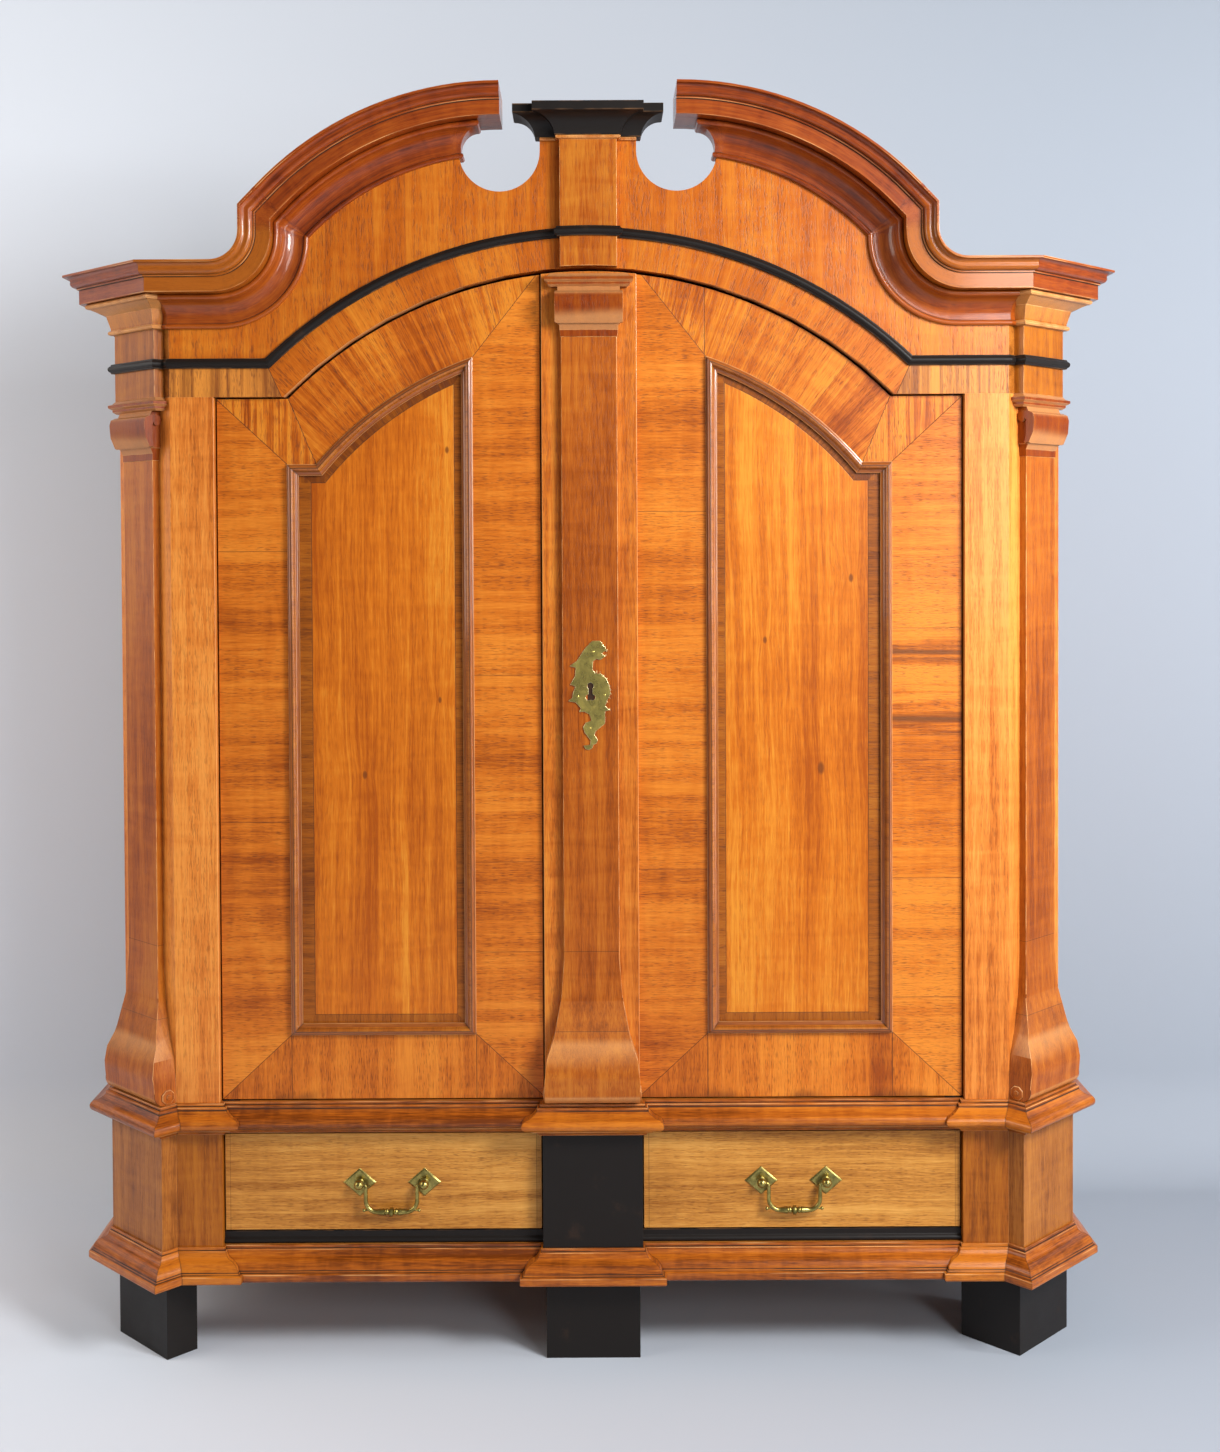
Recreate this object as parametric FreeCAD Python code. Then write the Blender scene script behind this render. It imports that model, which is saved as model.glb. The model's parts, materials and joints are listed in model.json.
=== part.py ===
import FreeCAD, Part
import math
import os
from FreeCAD import Vector

# A baroque two-door kas: an octagonal carcass with 45 degree corners on a base with two drawers,
# closed by an arched frieze and a broken, curved pediment.  Millimetres; X right, Y back, Z up.
# The working frame has Y = 0 on the front plane of the corner posts; save() centres it in depth.

# Carcass plan
post_outer = 768.0          # half the width over the front faces of the corner posts
door_opening = 687.5        # half the width of the door opening
cant_width = 176.0          # width of each 45 degree corner
body_depth = 600.0          # front plane to back
board = 28.0                # posts and sides
thin_board = 14.0           # panels, shelves' backs and back boards

# Heights
base_bottom = 150.0         # top of the feet
base_moulding_top = 206.0
drawer_bottom = 232.0
drawer_top = 411.0
waist_bottom = 416.0
waist_top = 473.0           # top of the base, on which the cupboard stands
floor_board = 18.0
frieze_bottom = 1773.0      # level part of the door head
band_bottom = 1825.0
bed_level = 1897.0          # lower edge of the cornice on its level part

# Base
base_block_proud = 32.0     # canted plinth blocks stand this far off the corner
base_recess = 10.0          # drawer rails lie this far behind the posts
base_stile_inner = 684.0
centre_block_half = 92.0
centre_block_front = -14.0
waist_projection = 38.0
base_projection = 42.0

# Feet
foot_width = 169.0
foot_front = 21.5           # distance of a corner foot's face from the corner plane
left_foot_depth = 64.0
right_foot_depth = 126.0
centre_foot_half = 86.5
centre_foot_front = -11.0
rear_foot = (110.0, 70.0)

# Door head: every arch is struck from one centre on the middle line
arch_centre = 1221.0
opening_radius = 786.0
door_radius = 779.0
band_radius = 840.0
band_height = 18.0
band_proud = 10.0
frieze_board = 30.0

# Pediment: each half is an arc, a mitred kink and a quarter cove down to the level cornice
pediment_centre = Vector(-160, 0, 1724)
pediment_radius = 486.0     # to the lower edge of the cornice
kink_x = -510.0
tip_x = -158.0
cornice_projection = 95.0
cornice_height = 113.0
cornice_bed = 59.0          # height of the cove and beads below the corona
corona_back = 50.0          # the corona reaches this far behind the front plane
corona_gap = 1.0            # and clears the front board's upper edge
arc_turn = 6.0              # degrees for each flat of a large arc
cove_turn = 11.25            # and of the quarter coves
hole_centre = Vector(-162, 0, 2219)
hole_radius = 74.0

# Keystone and its cap
keystone_half = 52.0
keystone_proud = 20.0
cap_bottom = 2242.0
cap_top = 2293.0
cap_projection = 48.0

# Pilasters, capitals and frieze blocks
shaft_half = 51.0
shaft_proud = 14.0
console_half = 87.5
console_proud = 46.0
roll_half = 62.0
roll_proud = 37.0
abacus_height = 24.0
abacus_reach = 15.0
capital_height = 114.0
frieze_block_half = 69.5
frieze_block_proud = 20.0

# Doors
door_edge = 684.0
door_gap = 3.0              # under, over and between the doors
strip_half = 87.5           # closing strip on the right door
door_face = 13.0            # behind the front plane
door_thickness = 28.0
strip_face = 3.0
panel_inner_x = 214.0       # outer edge of the panel moulding
panel_outer_x = 556.0
panel_bottom = 595.0
panel_shoulder = 1650.0
panel_radius = 660.0
panel_moulding_width = 21.0
hinge_inset = 15.0          # hinge line from the door's outer edge
hinge_depth = 21.0          # hinge line behind the front plane
pin_radius = 5.0
pin_clearance = 0.06

keyhole_height = 1230.0
shelf_heights = (860.0, 1130.0, 1480.0)
shelf_thickness = 20.0
shelf_front = 75.0
back_planks = 5

# Drawers and handles
drawer_inner_x = 95.0
drawer_outer_x = 681.0
drawer_front_thickness = 22.0
drawer_length = 460.0
drawer_side = 12.0
handle_x = 372.0
handle_z = 320.0
post_spacing = 120.0
plate_thickness = 2.5
ball_radius = 9.0
ball_height = 13.0          # centre of the ball off its plate
bail_radius = 2.2           # pins of the bail, in the bored balls
rod_radius = 2.5
bail_drop = 50.0
arm_inset = 12.6
top_bend = 3.2
low_bend = 10.0

X = Vector(1, 0, 0)
Y = Vector(0, 1, 0)
Z = Vector(0, 0, 1)
origin = Vector(0, 0, 0)
leg = cant_width * math.sqrt(0.5)
side_x = post_outer + leg
base_side_x = side_x + base_block_proud * math.sqrt(0.5)
ceiling_bottom = bed_level + cornice_height
centre_shift = Vector(0, (cornice_projection - body_depth) / 2, 0)


def section(outline, at, across, up):
    # An outline item is a point (a, b) reached by a line, or (ma, mb, a, b) reached by an arc
    # through (ma, mb).  The outline closes with a line to its first point.
    def point(a, b):
        return at + across * a + up * b

    edges = []
    here = point(*outline[0])
    for item in outline[1:] + outline[:1]:
        there = point(*item[-2:])
        if len(item) == 4:
            edges.append(Part.Arc(here, point(*item[:2]), there).toShape())
        elif not here.isEqual(there, 1e-6):
            edges.append(Part.makeLine(here, there))
        here = there
    return Part.Face(Part.Wire(edges))


def facet(outline, turn=40.0):
    # Plain points of a small outline, with each arc worked as short flats.
    points = [outline[0]]
    for item in outline[1:]:
        if len(item) == 4:
            ends = [Vector(*ab, 0) for ab in (points[-1], item[:2], item[2:])]
            arc = Part.Arc(*ends).toShape()
            sweep = math.degrees(arc.Length / arc.Curve.Radius)
            flats = max(2, round(sweep / turn))
            points += [(p.x, p.y) for p in arc.discretize(flats + 1)[1:-1]]
        points.append(item[-2:])
    return points


def skinned(rings):
    # A solid through polygons whose corners are in step, with flat faces throughout.
    flats = [rings[0], rings[-1]]
    for near, far in zip(rings, rings[1:]):
        for i in range(len(near)):
            a, b, c, d = near[i - 1], near[i], far[i], far[i - 1]
            if abs((b - a).cross(d - a).dot(c - a)) < 1e-7:
                flats.append([a, b, c, d])
            else:
                flats += [[a, b, c], [a, c, d]]
    shell = Part.makeShell([Part.Face(Part.makePolygon(flat + flat[:1])) for flat in flats])
    shell.sewShape()
    solid = Part.makeSolid(shell)
    return solid if solid.Volume > 0 else solid.reversed()


def ring(centre, along, radius, sides):
    # A polygon round a point of a rod; the rod lies in a plane square to Y or runs along Y.
    across = X if abs(along.y) > 0.5 else Y
    up = along.cross(across)
    turns = [2 * math.pi * (i + 0.5) / sides for i in range(sides)]
    return [centre + across * radius * math.cos(t) + up * radius * math.sin(t) for t in turns]


def turned(profile, start, along, sides=8):
    # A small turning through (distance, radius) stations.
    return skinned([ring(start + along * d, along, r, sides) for d, r in profile])


def bent(profile, centre, radius, angles, outward=1):
    # A profile of (proud, outward) points carried round a Y axis through flats; angles in degrees.
    def at(degrees):
        radial = Vector(math.cos(math.radians(degrees)), 0, math.sin(math.radians(degrees)))
        return [centre + radial * (radius + outward * b) - Y * a for a, b in profile]

    return skinned([at(degrees) for degrees in angles])


def steps(start, end, turn):
    # Equal steps of about one turn from start to end.
    count = max(1, round(abs(end - start) / turn))
    return [start + (end - start) * i / count for i in range(count + 1)]


def block(x0, x1, y0, y1, z0, z1):
    return Part.makeBox(x1 - x0, y1 - y0, z1 - z0, Vector(x0, y0, z0))


def prism(plan, z0, z1):
    return section(plan, Z * z0, X, Y).extrude(Z * (z1 - z0))


def plate(outline, y0, y1):
    return section(outline, Y * y0, X, Z).extrude(Y * (y1 - y0))


def mirrored(shape):
    return shape.mirror(origin, X)


def both(shape):
    return [shape, mirrored(shape)]


def fused(shapes):
    return shapes[0].fuse(shapes[1:]).removeSplitter()


def polar(centre, radius, degrees):
    angle = math.radians(degrees)
    return centre.x + radius * math.cos(angle), centre.z + radius * math.sin(angle)


def arc_to(centre, radius, start, end):
    # Outline item for an arc about centre from one angle to another.
    return polar(centre, radius, (start + end) / 2) + polar(centre, radius, end)


def height_on(centre, radius, x):
    return centre.z + math.sqrt(radius**2 - (x - centre.x)**2)


def angle_at(centre, x, z):
    return math.degrees(math.atan2(z - centre.z, x - centre.x))


def save(name, shapes):
    shape = shapes if isinstance(shapes, Part.Shape) else Part.makeCompound(shapes)
    shape = shape.copy()
    shape.translate(centre_shift)
    shape.exportStep(f"parts/{name}.step")


# Mouldings on a plan path.  The path is walked with the wall on its left, and every run is cut
# at both ends on the mitre plane it shares with its neighbour.

def mitre_vectors(path):
    steps = [(b - a).normalize() for a, b in zip(path, path[1:])]
    normals = [Vector(d.y, -d.x, 0) for d in steps]
    inner = [(a + b) * (1 / (1 + a.dot(b))) for a, b in zip(normals, normals[1:])]
    return steps, normals, normals[:1] + inner + normals[-1:]


def plan_runs(path, profile, z, reach, back=0.0):
    path = [Vector(x, y, 0) for x, y in path]
    steps, normals, mitres = mitre_vectors(path)
    runs = []
    for i, (step, normal) in enumerate(zip(steps, normals)):
        a, b = path[i], path[i + 1]
        overrun = 3 * (reach + back)
        face = section(profile, a - step * overrun + Z * z, normal, Z)
        stick = face.extrude(step * ((b - a).Length + 2 * overrun))
        corners = [a - mitres[i] * back, a + mitres[i] * reach,
                   b + mitres[i + 1] * reach, b - mitres[i + 1] * back]
        wedge = prism([(c.x, c.y) for c in corners], z - 300, z + 300)
        runs.append(stick.common(wedge))
    return runs


# Local frames: a shape made around the origin, facing -Y, is set on the middle or on a corner.

def on_left_corner(shape):
    placed = shape.copy()
    placed.rotate(origin, Z, -45)
    placed.translate(Vector(-post_outer - leg / 2, leg / 2, 0))
    return placed


def moved(shape, x, y, z):
    placed = shape.copy()
    placed.translate(Vector(x, y, z))
    return placed


def cant_point(along, proud):
    # Plan point on the left corner: along it from the front edge, and out from its face.
    diagonal = math.sqrt(0.5)
    return -post_outer - (along + proud) * diagonal, (along - proud) * diagonal


# ---------------------------------------------------------------- feet

def corner_foot(depth):
    half = foot_width / 2
    return on_left_corner(block(-half, half, -foot_front, depth - foot_front, 0, base_bottom))


def make_feet():
    save("corner_foot_left", corner_foot(left_foot_depth))
    save("corner_foot_right", mirrored(corner_foot(right_foot_depth)))
    save("centre_foot", block(-centre_foot_half, centre_foot_half, centre_foot_front, 50,
                              0, base_bottom))
    width, depth = rear_foot
    x = base_side_x - 10
    y = body_depth - 8
    save("rear_feet", both(block(-x, width - x, y - depth, y, 0, base_bottom)))


# ---------------------------------------------------------------- base

def base_path():
    left = [(-base_side_x, body_depth), cant_point(cant_width, base_block_proud),
            cant_point(0, base_block_proud), (-post_outer, 0), (-base_stile_inner, 0),
            (-base_stile_inner, base_recess), (-centre_block_half, base_recess),
            (-centre_block_half, centre_block_front)]
    return left + [(-x, y) for x, y in reversed(left)]


def base_mouldings():
    height = base_moulding_top - base_bottom
    nose = base_projection
    profile = [(0, 0), (nose - 6, 0), (nose - 1, 2, nose, 7), (nose, 15), (nose - 5, 17),
               (nose - 8, 20), (nose - 12, 30, 16, 37), (10, 41, 7, 49), (4, 50),
               (4, height), (0, height)]
    return plan_runs(base_path(), facet(profile), base_bottom, nose + 2)


def waist_mouldings():
    height = waist_top - waist_bottom
    nose = waist_projection
    profile = [(0, 0), (6, 0), (9, 5, 14, 8), (18, 9), (20, 14), (nose - 8, 15),
               (nose, 25, nose - 8, 35), (nose - 14, 36), (18, 39, 10, 46), (10, 51),
               (5, 52), (5, height), (0, height)]
    return plan_runs(base_path(), facet(profile, 45), waist_bottom, nose + 2)


def save_moulding(name, runs):
    save(f"{name}_left", runs[:5])
    save(f"{name}_front", runs[5:10])
    save(f"{name}_right", runs[10:])


def corner_post(inner, z0, z1, thickness):
    return prism([(-inner, 0), (-post_outer, 0), cant_point(cant_width, 0),
                  cant_point(cant_width, -thickness),
                  (-post_outer + thickness * math.tan(math.radians(22.5)), thickness),
                  (-inner, thickness)], z0, z1)


def side_plan(outer, thickness, back):
    # Plan of a side board whose front end seats on the end of the canted board.
    front = leg + side_x - outer
    inner = outer - thickness
    return [(-outer, front), (-outer, back), (-inner, back), (-inner, leg + side_x - inner)]


def make_base():
    top = waist_top - floor_board
    save("base_posts", both(corner_post(base_stile_inner, base_bottom, top, board)))
    half = cant_width / 2
    canted = on_left_corner(block(-half, half, -base_block_proud, 0, base_bottom, top))
    save("base_corner_blocks", both(canted))
    save("base_sides", both(prism(side_plan(base_side_x, 30, body_depth), base_bottom, top)))
    save("centre_plinth_block", block(-centre_block_half, centre_block_half,
                                      centre_block_front, base_recess, base_bottom, top))
    inner = base_side_x - 30
    rail = base_recess + 25
    back = body_depth - 20
    front_rails = [block(-base_stile_inner, base_stile_inner, base_recess, rail, z0, z1)
                   for z0, z1 in ((base_bottom, base_moulding_top), (waist_bottom, top))]
    bottom = prism([(-inner, 180), (-base_stile_inner, rail), (base_stile_inner, rail),
                    (inner, 180), (inner, back), (-inner, back)], 180, 198)
    rear = block(-inner, inner, back, body_depth, base_bottom, top)
    save("base_case", front_rails + [bottom, rear])

    outline = [(-base_side_x, body_depth)] + base_path()[1:-1] + [(base_side_x, body_depth)]
    cupboard_floor = prism(outline, top, waist_top)
    x = door_edge - hinge_inset
    for side in (-x, x):
        recess = block(side - 16, side + 16, hinge_depth - 9, hinge_depth + 9,
                       waist_top - 3, waist_top)
        bore = Part.makeCylinder(pin_radius + 1, 10, Vector(side, hinge_depth, waist_top - 12))
        cupboard_floor = cupboard_floor.cut(recess).cut(bore)
    save("cupboard_floor", cupboard_floor)


# Ebonised beads under the drawers, the partition between them and their runners.

def make_drawer_frame():
    bead_height = drawer_bottom - 3 - base_moulding_top
    profile = facet([(0, 0), (6, 0), (9, 5, 6, 10), (4, 12), (4, bead_height), (0, bead_height)])
    face = section(profile, Vector(centre_block_half, base_recess + 10, base_moulding_top),
                   Vector(0, -1, 0), Z)
    front = face.extrude(X * (base_stile_inner - centre_block_half))
    rear = block(centre_block_half, base_stile_inner, base_recess + 10, base_recess + 25,
                 base_moulding_top, drawer_bottom - 3)
    save("drawer_beads", both(fused([front, rear])))

    back = body_depth - 20
    partition = block(-12, 12, base_recess + 25, back, 198, waist_top - floor_board)
    post = block(-centre_block_half, centre_block_half, base_recess, base_recess + 25,
                 base_moulding_top, waist_bottom)
    runner_top = drawer_bottom - 0.5
    inner = block(12, 12 + 100, base_recess + 25, back, 198, runner_top)
    outer = block(drawer_outer_x - 20, drawer_outer_x + 60, base_recess + 25 + board, back,
                  198, runner_top)
    save("drawer_partition", [partition, post] + both(inner) + both(outer))


def drawer_box():
    front_y = door_face + drawer_front_thickness
    y1 = front_y + drawer_length
    x0 = drawer_inner_x + 6
    x1 = drawer_outer_x - 6
    z0 = drawer_bottom
    z1 = drawer_top - 14
    sides = [block(x, x + drawer_side, front_y, y1, z0, z1) for x in (x0, x1 - drawer_side)]
    back = block(x0 + drawer_side, x1 - drawer_side, y1 - drawer_side, y1, z0 + 12, z1 - 10)
    bottom = block(x0 + drawer_side, x1 - drawer_side, front_y, y1 - drawer_side, z0 + 4, z0 + 12)
    return sides + [back, bottom]


def diamond(x, half_width, half_height, y):
    return [Vector(x - half_width, y, handle_z), Vector(x, y, handle_z - half_height),
            Vector(x + half_width, y, handle_z), Vector(x, y, handle_z + half_height)]


def handle_posts():
    # Bevelled diamond plates; each carries a ball post, cross-bored from its inner side.
    shapes = []
    face = door_face - plate_thickness
    neck = 4.5
    around = [math.radians(t) for t in (-60, -30, 0, 30, 60)]
    ball = [(ball_height + ball_radius * math.sin(t), ball_radius * math.cos(t)) for t in around]
    profile = [(0, 8), (2, 7.5), (3, neck)] + ball + [(ball_height + ball_radius, 1.5)]
    for side in (-1, 1):
        x = handle_x + side * post_spacing / 2
        shapes.append(skinned([diamond(x, 31, 26.5, door_face), diamond(x, 27, 22.5, face)]))
        post = turned(profile, Vector(x, face, handle_z), -Y)
        bore_start = Vector(x + side * 3.5, face - ball_height, handle_z)
        bore = Part.makeCylinder(bail_radius + pin_clearance, 20, bore_start, X * -side)
        shapes.append(post.cut(bore))
    return shapes


def bail():
    # One bent rod from pin to pin, with a turned grip at the bottom and a knob beside each bend.
    y = door_face - plate_thickness - ball_height
    arm = handle_x - post_spacing / 2 + arm_inset
    low = handle_z - bail_drop
    stations = [(arm - top_bend, handle_z, 0, rod_radius)]
    for t in (45, 90):
        a = math.radians(t)
        stations.append((arm - top_bend * (1 - math.sin(a)), handle_z - top_bend * (1 - math.cos(a)),
                         -t, rod_radius))
    for t in (90, 45, 0):
        a = math.radians(t)
        stations.append((arm + low_bend * (1 - math.sin(a)), low + low_bend * (1 - math.cos(a)),
                         -t, rod_radius + (90 - t) * 0.004))
    grip = [(-24, 3.4), (-17, 5.2), (-12, 6), (-10.5, 4.4), (-9, 6.6), (-7, 6.6), (-5.5, 5),
            (-3.5, 7.6), (-1.5, 8.6)]
    stations += [(handle_x + d, low, 0, r) for d, r in grip]
    stations += [(2 * handle_x - x, z, -t, r) for x, z, t, r in reversed(stations)]
    rings = []
    for x, z, t, r in stations:
        a = math.radians(t)
        rings.append(ring(Vector(x, y, z), Vector(math.cos(a), 0, math.sin(a)), r, 6))
    shapes = [skinned(rings)]
    reach = arm_inset + 2.5
    for side in (-1, 1):
        bend = handle_x + side * (handle_x - arm)
        pin = Vector(bend + side * reach, y, handle_z)
        shapes.append(Part.makeCylinder(bail_radius, reach - top_bend + 0.2, pin, X * -side))
        knob = [(0, 1.8), (4, 1.8), (5, 3), (7, 3.4), (9, 2.2), (9.6, 0.8)]
        shapes.append(turned(knob, Vector(bend - side * 3, y, low + 4), X * side, 6))
    return fused(shapes)


def make_drawers():
    front = block(drawer_inner_x, drawer_outer_x, door_face, door_face + drawer_front_thickness,
                  drawer_bottom, drawer_top)
    pieces = {"drawer_front": [front], "drawer_box": drawer_box(),
              "handle_posts": handle_posts(), "bail": [bail()]}
    for name, shapes in pieces.items():
        save(f"right_{name}", shapes)
        save(f"left_{name}", [mirrored(shape) for shape in shapes])


# ---------------------------------------------------------------- carcass

def make_carcass():
    post = corner_post(door_opening, waist_top, frieze_bottom, board)
    save("corner_post_left", post)
    save("corner_post_right", mirrored(post))
    frame = prism(side_plan(side_x, board, body_depth), waist_top, frieze_bottom)
    y0, y1 = leg + 110, body_depth - 90
    z0, z1 = waist_top + 130, frieze_bottom - 110
    window = block(-side_x - 1, -side_x + board + 1, y0, y1, z0, z1)
    rebate = block(-side_x + 12, -side_x + board + 1, y0 - 10, y1 + 10, z0 - 10, z1 + 10)
    save("side_frames", both(frame.cut(window).cut(rebate)))
    save("side_panels", both(block(-side_x + 12, -side_x + 12 + thin_board - 2,
                                   y0 - 10, y1 + 10, z0 - 10, z1 + 10)))

    inner = side_x - board
    back = body_depth - thin_board
    width = 2 * inner / back_planks
    notch = block(-side_x, -side_x + corona_back, back - 1, body_depth + 1,
                  bed_level + cornice_bed, ceiling_bottom + 1)
    boards = []
    for i in range(back_planks):
        plank = block(-inner + i * width + 0.5, -inner + (i + 1) * width - 0.5, back, body_depth,
                      waist_top, ceiling_bottom)
        boards.append(plank.cut(notch).cut(mirrored(notch)))
    save("back_boards", boards)

    shelves = []
    for z in shelf_heights:
        shelf = prism([(-inner, 190), (-post_outer + 20, shelf_front), (post_outer - 20, shelf_front),
                       (inner, 190), (inner, back), (-inner, back)], z, z + shelf_thickness)
        shelves.append(shelf)
        shelves += both(block(-inner, -inner + 22, 200, back - 10, z - 30, z))
    save("shelves", shelves)

    plates = []
    for x in (hinge_inset - door_edge, door_edge - hinge_inset):
        for z in (waist_top - 3, frieze_bottom):
            strip = block(x - 16, x + 16, hinge_depth - 9, hinge_depth + 9, z, z + 3)
            bore = Part.makeCylinder(pin_radius + pin_clearance, 5, Vector(x, hinge_depth, z - 1))
            plates.append(strip.cut(bore))
    save("hinge_plates", plates)


# ---------------------------------------------------------------- pilasters

def pilaster(z0, z1):
    # Front and side outlines meet along sharp arrises, as on a shaft worked from one block.
    flare = z0 + 262
    edge = [(console_half, z0 + 42), (console_half - 5, z0 + 86, console_half - 18, z0 + 122),
            (shaft_half + 6, z0 + 186, shaft_half, flare), (shaft_half, z1)]
    edge = facet(edge, 12)
    front = [(-console_half, z0), (console_half, z0)] + edge + [(-a, b) for a, b in reversed(edge)]
    side = facet([(0, z0), (console_proud - 24, z0), (console_proud - 7, z0 + 6,
                  console_proud - 1, z0 + 26), (console_proud + 1, z0 + 66,
                  console_proud - 13, z0 + 108), (shaft_proud + 6, z0 + 168, shaft_proud, flare),
                  (shaft_proud, z1), (0, z1)], 15)
    across = section(side, Vector(-console_half - 5, 0, 0), Vector(0, -1, 0), Z)
    swept = across.extrude(X * (2 * console_half + 10))
    body = plate(front, -console_proud - 10, 0).common(swept)
    eye = [(0, 14), (2, 13), (2.5, 5), (4, 4.5)]
    volutes = [turned(eye, Vector(side * console_half, -17, z0 + 15), X * side)
               for side in (-1, 1)]
    return fused([body] + volutes)


def capital(z_top):
    # A moulded abacus over a scroll: its ribbon curls over at the back and dies into the neck.
    half = roll_half + 4
    core = block(-half, half, -shaft_proud, 0, z_top - abacus_height, z_top)
    profile = facet([(-shaft_proud, -abacus_height), (4, -abacus_height), (6, -22), (9, -20),
                     (9, -16), (12, -14), (abacus_reach, -12), (abacus_reach, -7),
                     (9, -5, 5, 0), (-shaft_proud, 0)])
    path = [(-half, 0), (-half, -shaft_proud), (half, -shaft_proud), (half, 0)]
    rim = plan_runs(path, profile, z_top, abacus_reach + 2, shaft_proud)
    abacus = fused(rim + [core]).common(block(-100, 100, -100, 0, z_top - 30, z_top))

    def swept(outline, half_width):
        face = section(facet(outline), Vector(-half_width, 0, z_top), Vector(0, -1, 0), Z)
        return face.extrude(X * 2 * half_width)

    curl = 9.5
    ribbon = swept([(curl + 1, -31), (roll_proud - 12, -32), (roll_proud - 3, -36, roll_proud, -46),
                    (roll_proud - 1.5, -68, 25, -91), (16, -90), (20, -75, 20, -58),
                    (20, -50), (17, -44), (15, -49.5, curl + 1, -51), (0.5, -41, curl + 1, -31)],
                   roll_half)
    body = swept([(0, -abacus_height), (shaft_proud + 4, -abacus_height), (26, -40), (26, -60),
                  (20, -91), (shaft_proud + 1, -100, shaft_proud + 1, -capital_height),
                  (0, -capital_height)], roll_half - 5)
    waist = shaft_half + 1
    front = [(-roll_half, 0), (-roll_half, -89), (-waist - 2, -92), (-waist, -capital_height),
             (waist, -capital_height), (waist + 2, -92), (roll_half, -89), (roll_half, 0)]
    trim = plate([(a, z_top + b) for a, b in front], -60, 0)
    return fused([abacus, fused([ribbon, body]).common(trim)])


def make_pilasters():
    left = on_left_corner(pilaster(waist_top, frieze_bottom - capital_height))
    save("corner_pilaster_left", left)
    save("corner_pilaster_right", mirrored(left))
    save("corner_capitals", both(on_left_corner(capital(frieze_bottom))))


# ---------------------------------------------------------------- frieze

def kink_geometry(offset):
    # Corner points of the pediment edge at a given distance from the cornice's lower edge:
    # the end of the quarter cove, the mitred corner and the start of the large arc.
    kink_z = height_on(pediment_centre, pediment_radius, kink_x)
    outward = (Vector(kink_x, 0, kink_z) - pediment_centre).normalize()
    along = Vector(-outward.z, 0, outward.x)
    arc_start = Vector(kink_x, 0, kink_z) + outward * offset
    straight_x = kink_x - offset
    mitre = arc_start + along * ((straight_x - arc_start.x) / along.x)
    return kink_z, arc_start, mitre, along


def pediment_edge(offset, end_x):
    # Outline items along the top of the left half, from end_x out to the corner.
    kink_z, arc_start, mitre, _ = kink_geometry(offset)
    radius = pediment_radius + offset
    end_z = height_on(pediment_centre, radius, end_x)
    cove = kink_z - bed_level
    cove_centre = Vector(kink_x - cove, 0, kink_z)
    return [(end_x, end_z),
            arc_to(pediment_centre, radius, angle_at(pediment_centre, end_x, end_z),
                   angle_at(pediment_centre, arc_start.x, arc_start.z)),
            (mitre.x, mitre.z), (kink_x - offset, kink_z),
            arc_to(cove_centre, cove - offset, 0, -90), (-post_outer, bed_level + offset)]


def make_frieze():
    centre = Vector(0, 0, arch_centre)
    shoulder = math.sqrt(opening_radius**2 - (frieze_bottom - arch_centre)**2)
    neck = hole_centre.x + hole_radius
    outline = [(0, arch_centre + opening_radius), (0, cap_top - 12), (neck, cap_top - 12),
               (neck, hole_centre.z), arc_to(hole_centre, hole_radius, 0, -180)]
    outline += pediment_edge(cornice_bed - corona_gap, hole_centre.x - hole_radius)
    outline += [(-post_outer, frieze_bottom), (-shoulder, frieze_bottom),
                arc_to(centre, opening_radius,
                       angle_at(centre, -shoulder, frieze_bottom), 90)]
    half = plate(facet(outline, arc_turn), 0, frieze_board)
    half = half.cut(mitre_waste(frieze_board))
    x = door_edge - hinge_inset
    recess = block(-x - 16, -x + 16, hinge_depth - 9, hinge_depth + 9,
                   frieze_bottom, frieze_bottom + 3)
    bore = Part.makeCylinder(pin_radius + 1, 14, Vector(-x, hinge_depth, frieze_bottom))
    half = half.cut(recess).cut(bore)
    save("frieze_board", fused([half, mirrored(half)]))

    top = bed_level + cornice_bed
    canted = prism([(-post_outer, 0), cant_point(cant_width, 0),
                    cant_point(cant_width, -frieze_board),
                    (-post_outer + frieze_board * math.tan(math.radians(22.5)), frieze_board)],
                   frieze_bottom, top)
    side = prism(side_plan(side_x, board, body_depth), frieze_bottom, top)
    front = corona_back
    ceiling = prism([(-side_x, leg), (-post_outer - front, front), (post_outer + front, front),
                     (side_x, leg), (side_x, body_depth), (-side_x, body_depth)],
                    ceiling_bottom, ceiling_bottom + floor_board)
    save("hood_case", both(canted) + both(side) + [ceiling])


def mitre_waste(thickness):
    # Corner of a front board that the canted board's mitre takes away.
    inner = -post_outer + thickness * math.tan(math.radians(22.5))
    return prism([(-post_outer, 0), (inner, thickness), (inner, thickness + 1),
                  (-post_outer - 5, thickness + 1), (-post_outer - 5, 0)], 1700, 2400)


def keystone():
    top = cap_bottom
    outline = [(-keystone_half, height_on(Vector(0, 0, arch_centre), opening_radius, keystone_half)),
               (0, arch_centre + opening_radius,
                keystone_half, height_on(Vector(0, 0, arch_centre), opening_radius, keystone_half)),
               (keystone_half, top), (-keystone_half, top)]
    return plate(outline, -keystone_proud, 0)


def bed_profile():
    # Bed bead, cove and upper bead of the cornice, measured from its lower edge.
    return facet([(0, 0), (5, 0), (9.5, 4.5, 5, 9), (5, 12), (12.5, 38, 33, 49), (35, 49),
                  (39.5, 54, 35, cornice_bed)])


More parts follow.
